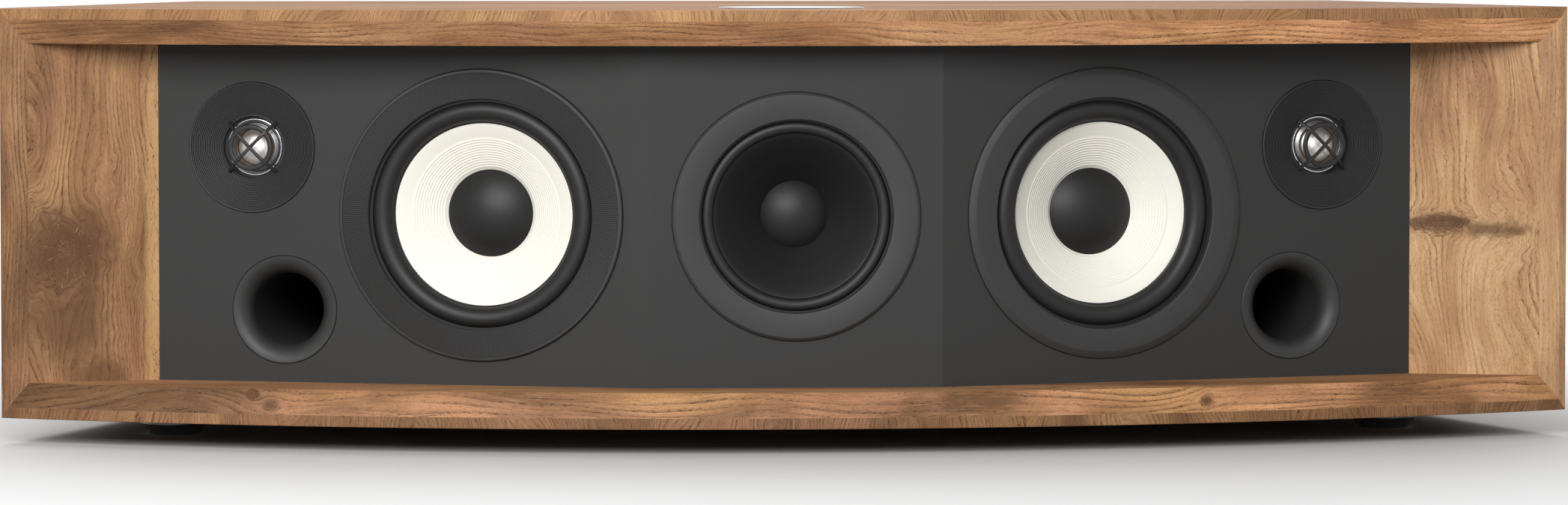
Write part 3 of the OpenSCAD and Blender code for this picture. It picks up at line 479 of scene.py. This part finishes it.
def spun(outline, steps=96, rounded=0.0, closed=True):
    """A mesh from an outline of (radius, height) points in millimetres, spun round Z."""
    mesh = bmesh.new()
    corners = [mesh.verts.new((radius * MM, 0, height * MM)) for radius, height in outline]
    ends = corners[1:] + corners[:1] if closed else corners[1:]
    for first, second in zip(corners, ends):
        mesh.edges.new((first, second))
    if rounded:
        bmesh.ops.bevel(mesh, geom=corners, offset=rounded * MM, offset_type="OFFSET",
                        segments=3, profile=0.5, affect="VERTICES", material=-1)
    bmesh.ops.spin(mesh, geom=mesh.verts[:] + mesh.edges[:], cent=(0, 0, 0), axis=(0, 0, 1),
                   angle=math.tau, steps=steps, use_merge=True)
    return mesh


def piece(name, mesh, finishes, body, replaced=(), place=None, sharp=32, blend=None):
    """Turns a bmesh into a finished object on its CAD body. Given a blend, it is only set in place
    and hangs on no body.
    """
    bmesh.ops.remove_doubles(mesh, verts=mesh.verts, dist=WELD)
    bmesh.ops.dissolve_degenerate(mesh, edges=mesh.edges, dist=WELD)
    bmesh.ops.recalc_face_normals(mesh, faces=mesh.faces)
    if place is not None:
        bmesh.ops.transform(mesh, matrix=place, verts=mesh.verts)
    data = bpy.data.meshes.new(name)
    mesh.to_mesh(data)
    mesh.free()
    for finish in finishes:
        data.materials.append(finish)
    data.shade_smooth()
    data.set_sharp_from_angle(angle=math.radians(sharp))
    made = bpy.data.objects.new(name, data)
    bpy.context.scene.collection.objects.link(made)
    if blend:
        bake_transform(made)
    else:
        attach(made, body)
    if replaced:
        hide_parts(*replaced)
    print(f"{name}: {len(data.polygons)} faces")
    return made


def facing(x, y, z, turn=0.0):
    """The place of a round piece whose axis comes forward out of the baffle."""
    return (Matrix.Translation((x * MM, y * MM, z * MM))
            @ Matrix.Rotation(turn, 4, "Z") @ Matrix.Rotation(math.pi / 2, 4, "X"))


def on_facet(side, u, up):
    """As facing(), on the left (-1) or right (1) facet, u from the middle."""
    back = (u - FACET_HALF) * math.tan(FACET_ANGLE)
    return facing(side * u, FACET_Y + back, MID_Z + up, side * FACET_ANGLE)


# %% [markdown]
# ## The oak boards
# Four boards are mitred at the corners. The top and bottom follow the bow, with a narrow flat
# rim and a bevel that runs into the opening. A box with a curve modifier would be awkward to
# mitre, so the rim and the bevel are an outline spun a short way round the middle of the bow,
# and planes then cut the back and the mitres, as a saw would. Each cut is closed with a face.

# %% A saw cut
MITRE = 3
EASE_MM = 0.35


def verts_of(geometry):
    """The vertices among what an operator made."""
    return [part for part in geometry if isinstance(part, bmesh.types.BMVert)]


def saw(mesh, point, normal):
    """Cuts the mesh with a plane, drops the side that the normal points to, closes the cut."""
    cut = bmesh.ops.bisect_plane(
        mesh, geom=mesh.verts[:] + mesh.edges[:] + mesh.faces[:], dist=WELD,
        plane_co=point, plane_no=normal, clear_outer=True)["geom_cut"]
    edges = [e for e in cut if isinstance(e, bmesh.types.BMEdge)]
    closed = bmesh.ops.edgeloop_fill(mesh, edges=edges)["faces"]
    for face in closed:
        face.material_index = MITRE


def ease_edges(mesh):
    """Takes the sharpness off every edge that is not in a glued mitre."""
    mesh.normal_update()
    hard = [e for e in mesh.edges if len(e.link_faces) == 2
            and e.calc_face_angle() > math.radians(12)
            and all(f.material_index != MITRE for f in e.link_faces)]
    bmesh.ops.bevel(mesh, geom=hard, offset=EASE_MM * MM, offset_type="OFFSET", segments=2,
                    profile=0.5, affect="EDGES", material=-1)
    for face in mesh.faces:
        if face.material_index == MITRE:
            face.material_index = 0


# %% Top and bottom boards
ROUGH_D, ROUGH_ARC = 340, math.radians(28)


def level_board(name, upside_down, finishes):
    """A board spun oversize round the middle of the bow and sawn at the back and the mitres.
    The finishes are for its faces, its rim and its bevel."""
    inner = BOW_R - ROUGH_D
    outline = [(inner, ROOF_Z), (BOW_R - BEVEL_D, ROOF_Z), (BOW_R, TOP_Z - RIM_W),
               (BOW_R, TOP_Z), (inner, TOP_Z)]
    mesh = bmesh.new()
    ring = [mesh.verts.new((0, (BOW_Y - r) * MM, z * MM)) for r, z in outline]
    edges = [mesh.edges.new(pair) for pair in zip(ring, ring[1:] + ring[:1])]
    axis = Vector((0, BOW_Y * MM, 0))
    bmesh.ops.rotate(mesh, verts=ring, cent=axis, matrix=Matrix.Rotation(-ROUGH_ARC, 3, "Z"))
    bmesh.ops.spin(mesh, geom=ring + edges, cent=axis, axis=(0, 0, 1), angle=2 * ROUGH_ARC,
                   steps=112, use_merge=False)
    saw(mesh, (0, BACK_Y * MM, 0), (0, 1, 0))
    for face in mesh.faces:
        face.material_index = 0
    along = (math.sin(SIDE_ANGLE), math.cos(SIDE_ANGLE))
    for side in (-1, 1):
        saw(mesh, (side * CAB_W / 2 * MM, CORNER_Y * MM, TOP_Z * MM),
            (side * BOARD_T * along[1], BOARD_T * along[0], -SIDE_T))
    bmesh.ops.recalc_face_normals(mesh, faces=mesh.faces)
    mesh.normal_update()
    for face in mesh.faces:
        middle = face.calc_center_median()
        radius = math.hypot(middle.x, middle.y - BOW_Y * MM)
        if face.material_index == 0 and radius > (BOW_R - BEVEL_D - 0.5) * MM \
                and abs(face.normal.z) < 0.9:
            face.material_index = 1 if abs(face.normal.z) < 0.1 else 2
    ease_edges(mesh)
    if upside_down:
        bmesh.ops.scale(mesh, vec=(1, 1, -1), verts=mesh.verts)
        bmesh.ops.translate(mesh, vec=(0, 0, (TOP_Z + FOOT_H) * MM), verts=mesh.verts)
    return piece(name, mesh, finishes, "cabinet",
                 ["bottom_panel" if upside_down else "top_panel"], sharp=20)


level_board("oak_top_board", False, [oak_face_x, oak_top_rim, oak_top_bevel])
level_board("oak_bottom_board", True, [oak_face_x, oak_bottom_rim, oak_bottom_bevel])

# %% [markdown]
# ## The side boards
# A side board has the same mitres and the same rim and bevel, but its front edge is so short
# that the bow is straight there. It starts as the four corners of its mitred section, extruded
# from front to back, and three saw cuts make the back, the rim and the bevel.

# %% Side boards
SPARE = 40


def side_board(name, side, finishes, replaced):
    """A mitred section extruded oversize along the leaning side and sawn at both ends. The
    finishes are for its faces and for its rim and bevel."""
    side_rim = SIDE_T * RIM_W / BOARD_T
    lean = math.cos(math.asin(CAB_W / 2 / BOW_R))
    rim_x = CAB_W / 2 - side_rim * lean
    lip_x = CAB_W / 2 - SIDE_T * lean
    sin_a, cos_a = math.sin(SIDE_ANGLE), math.cos(SIDE_ANGLE)
    lip_back = (bow_at(lip_x) - CORNER_Y + SIDE_T * sin_a) / cos_a + BEVEL_D

    def on_side(inward, back, z):
        return Vector((CAB_W / 2 - inward * cos_a - back * sin_a,
                       CORNER_Y - inward * sin_a + back * cos_a, z)) * MM

    section = [(0, FOOT_H), (0, TOP_Z), (SIDE_T, ROOF_Z), (SIDE_T, FLOOR_Z)]
    mesh = bmesh.new()
    end = mesh.faces.new([mesh.verts.new(on_side(inward, -SPARE, z)) for inward, z in section])
    grown = bmesh.ops.extrude_face_region(mesh, geom=[end])["geom"]
    run = on_side(0, CAB_D + SPARE, 0) - on_side(0, 0, 0)
    bmesh.ops.translate(mesh, vec=run, verts=verts_of(grown))
    for face in mesh.faces:
        face.normal_update()
        # The two mitre faces are the only ones that are neither level nor upright
        face.material_index = MITRE if 0.1 < abs(face.normal.z) < 0.99 else 0
    corner = on_side(0, 0, 0)
    rim = Vector((rim_x, bow_at(rim_x), 0)) * MM
    lip = on_side(SIDE_T, lip_back, 0)
    for start, stop in ((corner, rim), (rim, lip)):
        run = stop - start
        saw(mesh, start, (-run.y, run.x, 0))
    saw(mesh, (0, BACK_Y * MM, 0), (0, 1, 0))
    bmesh.ops.recalc_face_normals(mesh, faces=mesh.faces)
    mesh.normal_update()
    for face in mesh.faces:
        if abs(face.normal.z) < 0.05:
            face.material_index = int(face.normal.y < -0.5)
    ease_edges(mesh)
    if side < 0:
        bmesh.ops.scale(mesh, vec=(-1, 1, 1), verts=mesh.verts)
    return piece(name, mesh, finishes, "cabinet", [replaced], sharp=20)


side_board("oak_left_board", -1, [oak_side_left, oak_left_front], "left_side_panel")
side_board("oak_right_board", 1, [oak_side_right, oak_right_front], "right_side_panel")


# %% Finishes for the CAD nodes that stay
def dress(names, finish):
    """Gives CAD nodes their material."""
    for name in names:
        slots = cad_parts[name].data.materials
        slots.clear()
        slots.append(finish)
    return len(names)


print("dressed", dress(["left_cheek"], oak_left_cheek), dress(["right_cheek"], oak_right_cheek),
      dress(["front_baffle"], baffle_paint), dress(["rear_panel"], rear_paint),
      dress(["left_partition", "right_partition"], raw_board))

# %% [markdown]
# ## The drivers
# A moving-coil driver is a trim ring over a basket, a half-roll rubber surround, a paper cone
# and a dust cap. The cone and everything glued to it slides a few millimetres on its axis. All
# three drivers come from one set of functions with the sizes of each, so that they stay as
# alike as they are in the shop. Z is forward and 0 is the face of the baffle.

# %% Sizes of the drivers, in millimetres
WOOFER = dict(ring=69.8, hole=55.5, cone=43.7, cap=21, coil=13.2, magnet=42, edge=-6, fall=13,
              ribs=12, rib_h=0.32)
MID = dict(ring=59.2, hole=46, cone=38.5, cap=16, coil=10.2, magnet=36, edge=-4.5, fall=15.5,
           ribs=8, rib_h=0.05)
SEAT_Z = -3
LIP_T = 0.8
RING_PROUD = 2.2
RING_SEAT = 4.5
RIB_PRESS = 0.32
CONE_T = 0.9
RIB_PITCH = 1.2


def cone_height(size, radius):
    """Height of the cone's face: a gentle curve that steepens towards the dust cap."""
    share = max(0.0, size["cone"] - radius) / (size["cone"] - size["cap"])
    return size["edge"] - size["fall"] * share ** 1.15


# %% Trim rings


def trim_ring(name, size, place, ribs, bevel, replaced):
    """A moulded ring. With ribs, every second radial line of its face is pressed down."""
    hole, ring = size["hole"], size["ring"]
    under, proud = SEAT_Z, RING_PROUD
    if ribs:
        outline = [(hole, under + LIP_T), (hole + RING_SEAT, under + LIP_T),
                   (hole + RING_SEAT, under), (ring, under), (ring, proud - 0.9),
                   (ring - 0.5, proud - 0.2), (ring - 1.6, proud - 0.1), (ring - 1.8, proud - 0.35),
                   (hole + 1.2, proud - 0.7), (hole + 0.3, proud - 0.8), (hole, proud - 1.2)]
        mesh = spun(outline, steps=2 * ribs)
        step = math.tau / (2 * ribs)
        for vert in mesh.verts:
            radius = math.hypot(vert.co.x, vert.co.y) / MM
            number = round(math.atan2(vert.co.y, vert.co.x) / step)
            if hole + 0.1 < radius < ring - 1.7 and vert.co.z > 0 and number % 2:
                vert.co.z -= RIB_PRESS * MM
    else:
        outline = [(hole, under + LIP_T), (hole + RING_SEAT, under + LIP_T),
                   (hole + RING_SEAT, under), (ring, under), (ring, proud - 1), (ring - bevel, proud),
                   (hole + 0.4, proud - 0.5), (hole, proud - 1)]
        mesh = spun(outline, steps=160, rounded=0.25)
    return piece(name, mesh, [ring_abs], "cabinet", [replaced], place=place)


# %% Surrounds


def surround(name, size, place, body, replaced):
    """Half-roll rubber in two rings that meet on its crest: the outer one stays with the
    cabinet, the inner one runs from the crest to the cone and is only set in place."""
    inner, outer = size["cone"] + 0.8, size["hole"] - 0.4
    middle, radius = (inner + outer) / 2, (outer - inner) / 2
    foot = size["edge"] + LIP_T
    steps = 14
    low = math.asin(max(-1, (SEAT_Z + LIP_T - foot) / radius))

    def arc(first, last, r):
        return [(middle + r * math.cos(first + (last - first) * i / steps),
                 foot + r * math.sin(first + (last - first) * i / steps)) for i in range(steps + 1)]

    crest = math.pi / 2
    skin = arc(low, crest, radius) + arc(crest, low, radius - LIP_T)
    outline = [(size["hole"] + 4.2, SEAT_Z), (size["hole"] + 4.2, SEAT_Z + LIP_T)] + skin \
        + [(middle + (radius - LIP_T) * math.cos(low), SEAT_Z)]
    piece(name + "_outer", spun(outline), [surround_rubber], "cabinet",
          place=place, sharp=40)
    skin = arc(crest, math.pi, radius) + [(size["cone"], foot - 0.5), (size["cone"], foot - LIP_T)] \
        + [(inner + LIP_T, foot - LIP_T)] + arc(math.pi, crest, radius - LIP_T)
    crest_point = place @ Vector((0, 0, (foot + radius) * MM))
    cone_point = place @ Vector((0, 0, foot * MM))
    piece(name + "_inner", spun(skin), [surround_rubber], body, [replaced],
          place=place, sharp=40, blend=("cabinet", body, crest_point, cone_point))


# %% Cones and dust caps


def cone(name, size, place, body, finish, replaced):
    """A paper cone with fine moulded ribs round its dust cap."""
    edge, rib_start, count = size["cone"], size["cap"] + 1, size["ribs"]
    neck = size["coil"] + 0.05
    rib_end = rib_start + count * RIB_PITCH
    face = [(edge + 1.4, size["edge"] - 0.02)]
    face += [(r, cone_height(size, r)) for r in
             [edge + (rib_end - edge) * i / 8 for i in range(9)]]
    for i in range(4 * count, -1, -1):
        radius = rib_start + i * RIB_PITCH / 4
        lift = size["rib_h"] * (1 - math.cos(math.tau * i / 4)) / 2
        face.append((radius, cone_height(size, radius) + lift))
    face += [(r, cone_height(size, r)) for r in
             [rib_start + (neck - rib_start) * i / 4 for i in range(1, 5)]]
    low = cone_height(size, neck) - 4
    back = [(neck, low), (neck + CONE_T, low)]
    back += [(r, cone_height(size, r) - 1.4 * CONE_T) for r in
             [neck + CONE_T + (edge + 1.4 - neck - CONE_T) * i / 8 for i in range(9)]]
    return piece(name, spun(face + back, steps=128), [finish], body, [replaced],
                 place=place, sharp=50)


def dust_cap(name, size, place, body, replaced):
    """A shallow dome whose rim turns down to the cone."""
    rim = size["cap"]
    rise = rim / 3
    round_r = (rim * rim + rise * rise) / (2 * rise)
    foot = cone_height(size, rim) + 0.05
    centre = foot + rise - round_r
    lean = math.asin(rim / round_r)
    dome = [(round_r * math.sin(lean * i / 20), centre + round_r * math.cos(lean * i / 20))
            for i in range(21)]
    inside = [((round_r - CONE_T) * math.sin(lean * i / 20) * 0.98,
               centre + (round_r - CONE_T) * math.cos(lean * i / 20)) for i in range(19, -1, -1)]
    mesh = spun(dome + [(rim - 1.1, foot)] + inside, steps=96, closed=False)
    return piece(name, mesh, [cap_rubber], body, [replaced], place=place, sharp=60)


# %% Spiders


def spider(name, size, place, body, replaced):
    """The corrugated cloth behind the cone: five waves between the coil and the basket."""
    inner, outer, flat = size["coil"] + 0.05, size["magnet"] - 9, 6.5
    base = cone_height(size, size["coil"]) - 7
    waves, steps, slope, swing, sheet = 5, 60, 1.6, 0.45, 0.5
    span = outer - flat - inner
    top = [(inner + span * i / steps, base + sheet + slope * (1 - i / steps)
            + swing * (1 - math.cos(math.tau * waves * i / steps))) for i in range(steps + 1)]
    outline = top + [(outer, base + sheet), (outer, base)]
    outline += [(radius, height - sheet) for radius, height in reversed(top)]
    rim_point = place @ Vector((0, 0, (base + sheet) * MM))
    coil_point = place @ Vector((0, 0, (base + sheet + slope) * MM))
    return piece(name, spun(outline), [spider_cloth], body, [replaced],
                 place=place, sharp=60, blend=("cabinet", body, rim_point, coil_point))


# %% The three large drivers
DRIVERS = (("left_woofer", WOOFER, on_facet(-1, WOOFER_U, 0), 410, 0, pale_paper, "woofer_cone"),
           ("right_woofer", WOOFER, on_facet(1, WOOFER_U, 0), 0, 3.4, pale_paper, "woofer_cone"),
           ("mid", MID, facing(0, FACET_Y, MID_Z), 0, 1.4, black_paper, "mid_cone"))
for driver, size, place, ribs, bevel, paper, paper_slot in DRIVERS:
    body = driver + "_body"
    trim_ring(driver + "_ring", size, place, ribs, bevel, driver + "_trim_ring")
    surround(driver + "_roll", size, place, body, driver + "_surround")
    cone(driver + "_paper_cone", size, place, body, paper, driver + "_cone")
    dust_cap(driver + "_cap", size, place, body, driver + "_dust_cap")
    spider(driver + "_corrugated_spider", size, place, body, driver + "_spider")
    dress([driver + "_basket"], cast_basket)
    dress([driver + "_motor"], plated_motor)
    dress([driver + "_voice_coil"], copper_wire)

# %% [markdown]
# ## The tweeters
# The faceplate is a dished disc with fine turned grooves, which a light from the side picks
# out as rings. In its throat lie a chromed bezel, a bronze-tinted edge and a small aluminium
# dome, and a guard with four legs stands over them. The grooves are modelled, not bumped,
# because they also show at the rim against the light.

# %% Tweeter pieces
DOME_FOOT, DOME_R, DOME_H = -5.8, 8.8, 4.2
BAR_W = 1.6
PLATE_R, DISH, GROOVES, GROOVE_D, THROAT_R = 31.35, 2.5, 18, 0.6, 15


def faceplate(name, place, replaced):
    """A dished plate with flat-topped grooves from its throat to its rim."""
    low, back = 1 - DISH, -7
    first = THROAT_R + 0.7
    pitch = (PLATE_R - 0.5 - first) / GROOVES
    outline = [(13.85, back), (13.85, -5), (THROAT_R, -5), (THROAT_R, low - 0.3),
               (THROAT_R + 0.2, low)]
    for i in range(GROOVES):
        radius, level = first + i * pitch, low + DISH * i / GROOVES
        outline += [(radius, level - 0.1), (radius + 0.1 * pitch, level - GROOVE_D),
                    (radius + 0.35 * pitch, level - GROOVE_D), (radius + 0.5 * pitch, level),
                    (radius + 0.95 * pitch, level + 0.1)]
    outline += [(PLATE_R - 0.3, 1), (PLATE_R, 0.75), (PLATE_R, -3),
                (21.5, -3), (21.5, back)]
    return piece(name, spun(outline, steps=128), [faceplate_abs], "cabinet",
                 [replaced], place=place)


def bezel(name, place, replaced):
    """A small bead outside, and a cone that leads down to the dome's edge."""
    outline = [(13.8, -7), (13.8, -4.7), (13.6, -4.35), (13.2, -4.3), (12.9, -4.5), (11.7, -6.1),
               (11.6, -6.4), (11.6, -7)]
    mesh = spun(outline, rounded=0.08)
    for face in mesh.faces:
        middle = face.calc_center_median()
        face.material_index = int(math.hypot(middle.x, middle.y) < 13.3 * MM)
    return piece(name, mesh, [chrome, satin_nickel], "cabinet", [replaced],
                 place=place, sharp=60)


def dome(name, place, body, replaced):
    """A shallow cap with the former of its voice coil behind it."""
    round_r = (DOME_R ** 2 + DOME_H ** 2) / (2 * DOME_H)
    centre = DOME_FOOT + DOME_H - round_r
    lean = math.asin(DOME_R / round_r)

    def cap(r, count, first=0):
        return [(r * math.sin(lean * i / count), centre + r * math.cos(lean * i / count))
                for i in range(first, count + 1)]

    outline = cap(round_r, 16) + [(DOME_R, -10), (DOME_R - 0.6, -10), (DOME_R - 0.6, DOME_FOOT)]
    outline += cap(round_r - 0.4, 16)[:-2][::-1]
    return piece(name, spun(outline, closed=False), [dome_alloy], body,
                 [replaced], place=place, sharp=50)


def tweeter_edge(name, place, body, replaced):
    """The small roll round the dome, between the dome and the bezel."""
    outline = [(8.85, -5.8), (8.85, -5.2), (9.3, -4.9), (10.0, -5.0), (10.9, -5.7),
               (11.5, -6), (11.5, -7), (10.8, -7), (10.8, -6.5), (10.2, -5.4), (9.5, -5.45)]
    mesh = spun(outline)
    for face in mesh.faces:
        middle = face.calc_center_median()
        face.material_index = int(math.hypot(middle.x, middle.y) > 10.2 * MM)
    foot_point = place @ Vector((0, 0, -6.4 * MM))
    dome_point = place @ Vector((0, 0, -5.6 * MM))
    return piece(name, mesh, [bronze, satin_nickel], body, [replaced], place=place,
                 sharp=50, blend=("cabinet", body, foot_point, dome_point))


def guard(name, place, replaced):
    """A ring and a cross in one moulding: each bar runs on down as a leg."""
    mesh = spun([(8.7, 2.1), (11.2, 2.1), (11.2, 3.7), (8.7, 3.7)], steps=72, rounded=0.7)
    leg = [(0, 3.5), (7, 2.9), (9.9, 2.1), (15.4, -1.5), (17, -1.5), (17, -0.5), (11.3, 3.7),
           (8, 4.5), (0, 4.8)]
    for quarter in range(4):
        turn = Matrix.Rotation(math.radians(45 + 90 * quarter), 3, "Z")
        corners = [mesh.verts.new(turn @ Vector((x, -BAR_W / 2, z)) * MM) for x, z in leg]
        side = mesh.faces.new(corners)
        grown = bmesh.ops.extrude_face_region(mesh, geom=[side])["geom"]
        moved = verts_of(grown)
        bmesh.ops.translate(mesh, vec=turn @ Vector((0, BAR_W * MM, 0)), verts=moved)
        edges = list({e for v in corners + moved for e in v.link_edges})
        bmesh.ops.holes_fill(mesh, edges=edges)
        bmesh.ops.recalc_face_normals(mesh, faces=mesh.faces)
        bmesh.ops.bevel(mesh, geom=edges, offset=0.35 * MM, offset_type="OFFSET", segments=2,
                        profile=0.5, affect="EDGES", material=-1, clamp_overlap=True)
    return piece(name, mesh, [guard_abs], "cabinet", [replaced], place=place)


for side, word in SIDES:
    place = on_facet(side, TWEETER_U, TWEETER_UP)
    tweeter = word + "_tweeter"
    body = tweeter + "_body"
    faceplate(tweeter + "_plate", place, tweeter + "_faceplate")
    bezel(tweeter + "_chrome_bezel", place, tweeter + "_bezel")
    tweeter_edge(tweeter + "_edge", place, body, tweeter + "_surround")
    dome(tweeter + "_metal_dome", place, body, tweeter + "_dome")
    guard(tweeter + "_cross_guard", place, tweeter + "_guard")
    dress([tweeter + "_motor"], plated_motor)

# %% [markdown]
# ## The ports
# A bass port is a tube whose mouth flares like a trumpet, so that the air leaves it quietly.
# The flare is a quarter round. Its own outline is spun, with the wall's thickness in it.

# %% Ports


def port(name, place, replaced):
    """A tube with a quarter-round mouth that stands a little proud of the baffle."""
    throat, flare, lip = 17.5, 8.5, 0.6
    steps = 14
    curve = [(throat + flare - flare * math.cos(math.pi / 2 * i / steps),
              lip - flare + flare * math.sin(math.pi / 2 * i / steps)) for i in range(steps + 1)]
    outline = [(throat, -105)] + curve
    outline[-1] = (throat + flare - 0.35, lip)
    outline += [(throat + flare, lip - 0.35), (throat + flare, -2), (22, -2), (22, -9.9),
                (throat + 2.2, -9.9), (throat + 2.2, -105)]
    return piece(name, spun(outline, steps=112), [port_abs], "cabinet",
                 [replaced], place=place, sharp=40)


for side, word in SIDES:
    port(word + "_flared_port", on_facet(side, PORT_U, PORT_UP), word + "_port")

# %% [markdown]
# ## Feet and the touch disc
# The feet are gloss mouldings: a straight band and a slanted underside. The disc on top is
# polished acrylic let into the board.

# %% Feet and disc
FOOT_ROWS = (("front", 300, FRONT_Y + 137), ("rear", BACK_W / 2 - 35, BACK_Y - 36))
# A hair's breadth short of the board, so that the two faces don't share one plane
FOOT_TOP = FOOT_H - 0.02
DISC_R, DISC_BACK, DISC_PROUD = 35, 70, 0.3
for row, foot_x, foot_y in FOOT_ROWS:
    for side, word in SIDES:
        outline = [(0, 0), (12.5, 0), (16.5, 5), (17, 5.4), (17, FOOT_TOP), (0, FOOT_TOP)]
        mesh = spun(outline, steps=72, closed=False)
        place = Matrix.Translation((side * foot_x * MM, foot_y * MM, 0))
        node = f"{row}_{word}_foot"
        piece(f"gloss_{node}", mesh, [foot_plastic], "cabinet", [node],
              place=place, sharp=25)

disc_outline = [(0, -2.5), (DISC_R, -2.5), (DISC_R, 0), (DISC_R - DISC_PROUD, DISC_PROUD),
                (0, DISC_PROUD)]
piece("gloss_touch_disc", spun(disc_outline, steps=128, closed=False), [touch_acrylic],
      "cabinet", ["touch_disc"],
      place=Matrix.Translation((0, (FRONT_Y + DISC_BACK) * MM, TOP_Z * MM)))

# %% [markdown]
# ## The back and the inside
# The back is a black panel with a moulded tray for the mains inlet and the line sockets. These
# CAD nodes have the right shapes already and keep them. They only need their finishes.

# %% Back and inside
dress(["connector_panel"], tray_abs)
dress(["mains_inlet"], inlet_plastic)
dress(["line_sockets"], gold_plate)
dress(["amplifier_board", "power_supply"], circuit)
dress(["driver_screws", "rear_screws"], screw_zinc)

# %% [markdown]
# ## Studio
# A product photographer sets such a speaker on a white sweep, with one large soft light above
# and a smaller one in front. The plain way to a white background is more light, but that would
# bleach the cones. Here the floor fades to plain white away from the speaker for the camera
# and in reflections only, so no extra light falls on the object and its shadow stays.

# %% What the eye sees


def eye_sees(tree):
    """1 for what the camera sees, by itself or in a mirror or through glass, and 0 for light
    on its way to a surface."""
    rays = add_node(tree, "LightPath")
    seen = calc(tree, "ADD", rays.outputs["Is Camera Ray"], rays.outputs["Is Glossy Ray"])
    seen = calc(tree, "ADD", seen, rays.outputs["Is Transmission Ray"])
    return calc(tree, "MINIMUM", seen, 1.0)


# %% Floor
FLOOR_HALF, FADE_START, FADE_END = 3.0, 0.38, 0.75
SWEEP, BOUNCE, WHITE = "#E4E4E4", "#8C8C8C", "#FFFFFF"
floor_mesh = bmesh.new()
bmesh.ops.create_grid(floor_mesh, x_segments=1, y_segments=1, size=FLOOR_HALF)
floor_data = bpy.data.meshes.new("studio_floor")
floor_mesh.to_mesh(floor_data)
floor_mesh.free()
studio_floor = bpy.data.objects.new("studio_floor", floor_data)
bpy.context.scene.collection.objects.link(studio_floor)
floor_paint = new_finish("matt_white_sweep", SWEEP, 0.9, Specular_IOR_Level=0.0)
tree = floor_paint.node_tree
place = add_node(tree, "TexCoord").outputs["Object"]
oval = add_node(tree, "VectorMath", {0: place, 1: (1.2, 1, 1)}, operation="MULTIPLY")
far = add_node(tree, "VectorMath", {0: oval}, operation="LENGTH").outputs["Value"]
fade = remap(tree, far, FADE_START, FADE_END, smooth=True)
seen = eye_sees(tree)
# The eye sees a pale floor, and the bounce of a mid grey one keeps the shadows deep
paint = tree.nodes["Principled BSDF"]
tree.links.new(tint(tree, seen, BOUNCE, SWEEP), paint.inputs["Base Color"])
white = add_node(tree, "Emission", {"Color": WHITE, "Strength": 1.0})
mix = add_node(tree, "MixShader", {0: calc(tree, "MULTIPLY", seen, fade), 1: paint, 2: white})
tree.links.new(mix.outputs[0], tree.nodes["Material Output"].inputs["Surface"])
floor_data.materials.append(floor_paint)
print("floor fades between", FADE_START, "and", FADE_END, "m")

# %% World
ROOM_LIGHT = 0.25
world = bpy.data.worlds.new("studio_world")
world.use_nodes = True
bpy.context.scene.world = world
tree = world.node_tree
room = tree.nodes["Background"]
room.inputs["Color"].default_value = srgb(WHITE)
room.inputs["Strength"].default_value = ROOM_LIGHT
backdrop = add_node(tree, "Background", {"Color": WHITE, "Strength": 1.0})
mix = add_node(tree, "MixShader", {0: eye_sees(tree), 1: room, 2: backdrop})
tree.links.new(mix.outputs[0], tree.nodes["World Output"].inputs["Surface"])

# %% Lamps
AIM = Vector((0, 0, 0.1))


def softbox(name, location, size, watts):
    """A square-cornered soft light that looks at the middle of the speaker."""
    lamp = bpy.data.lights.new(name, "AREA")
    lamp.shape = "RECTANGLE"
    lamp.size, lamp.size_y = size
    lamp.energy = watts
    box = bpy.data.objects.new(name, lamp)
    box.location = location
    box.rotation_euler = (AIM - Vector(location)).to_track_quat("-Z", "Y").to_euler()
    bpy.context.scene.collection.objects.link(box)
    return box


softbox("overhead_softbox", (-0.1, 0.5, 1.4), (2.2, 1.2), 15)
softbox("front_softbox", (-0.4, -1.4, 0.66), (1.0, 0.6), 21.5)
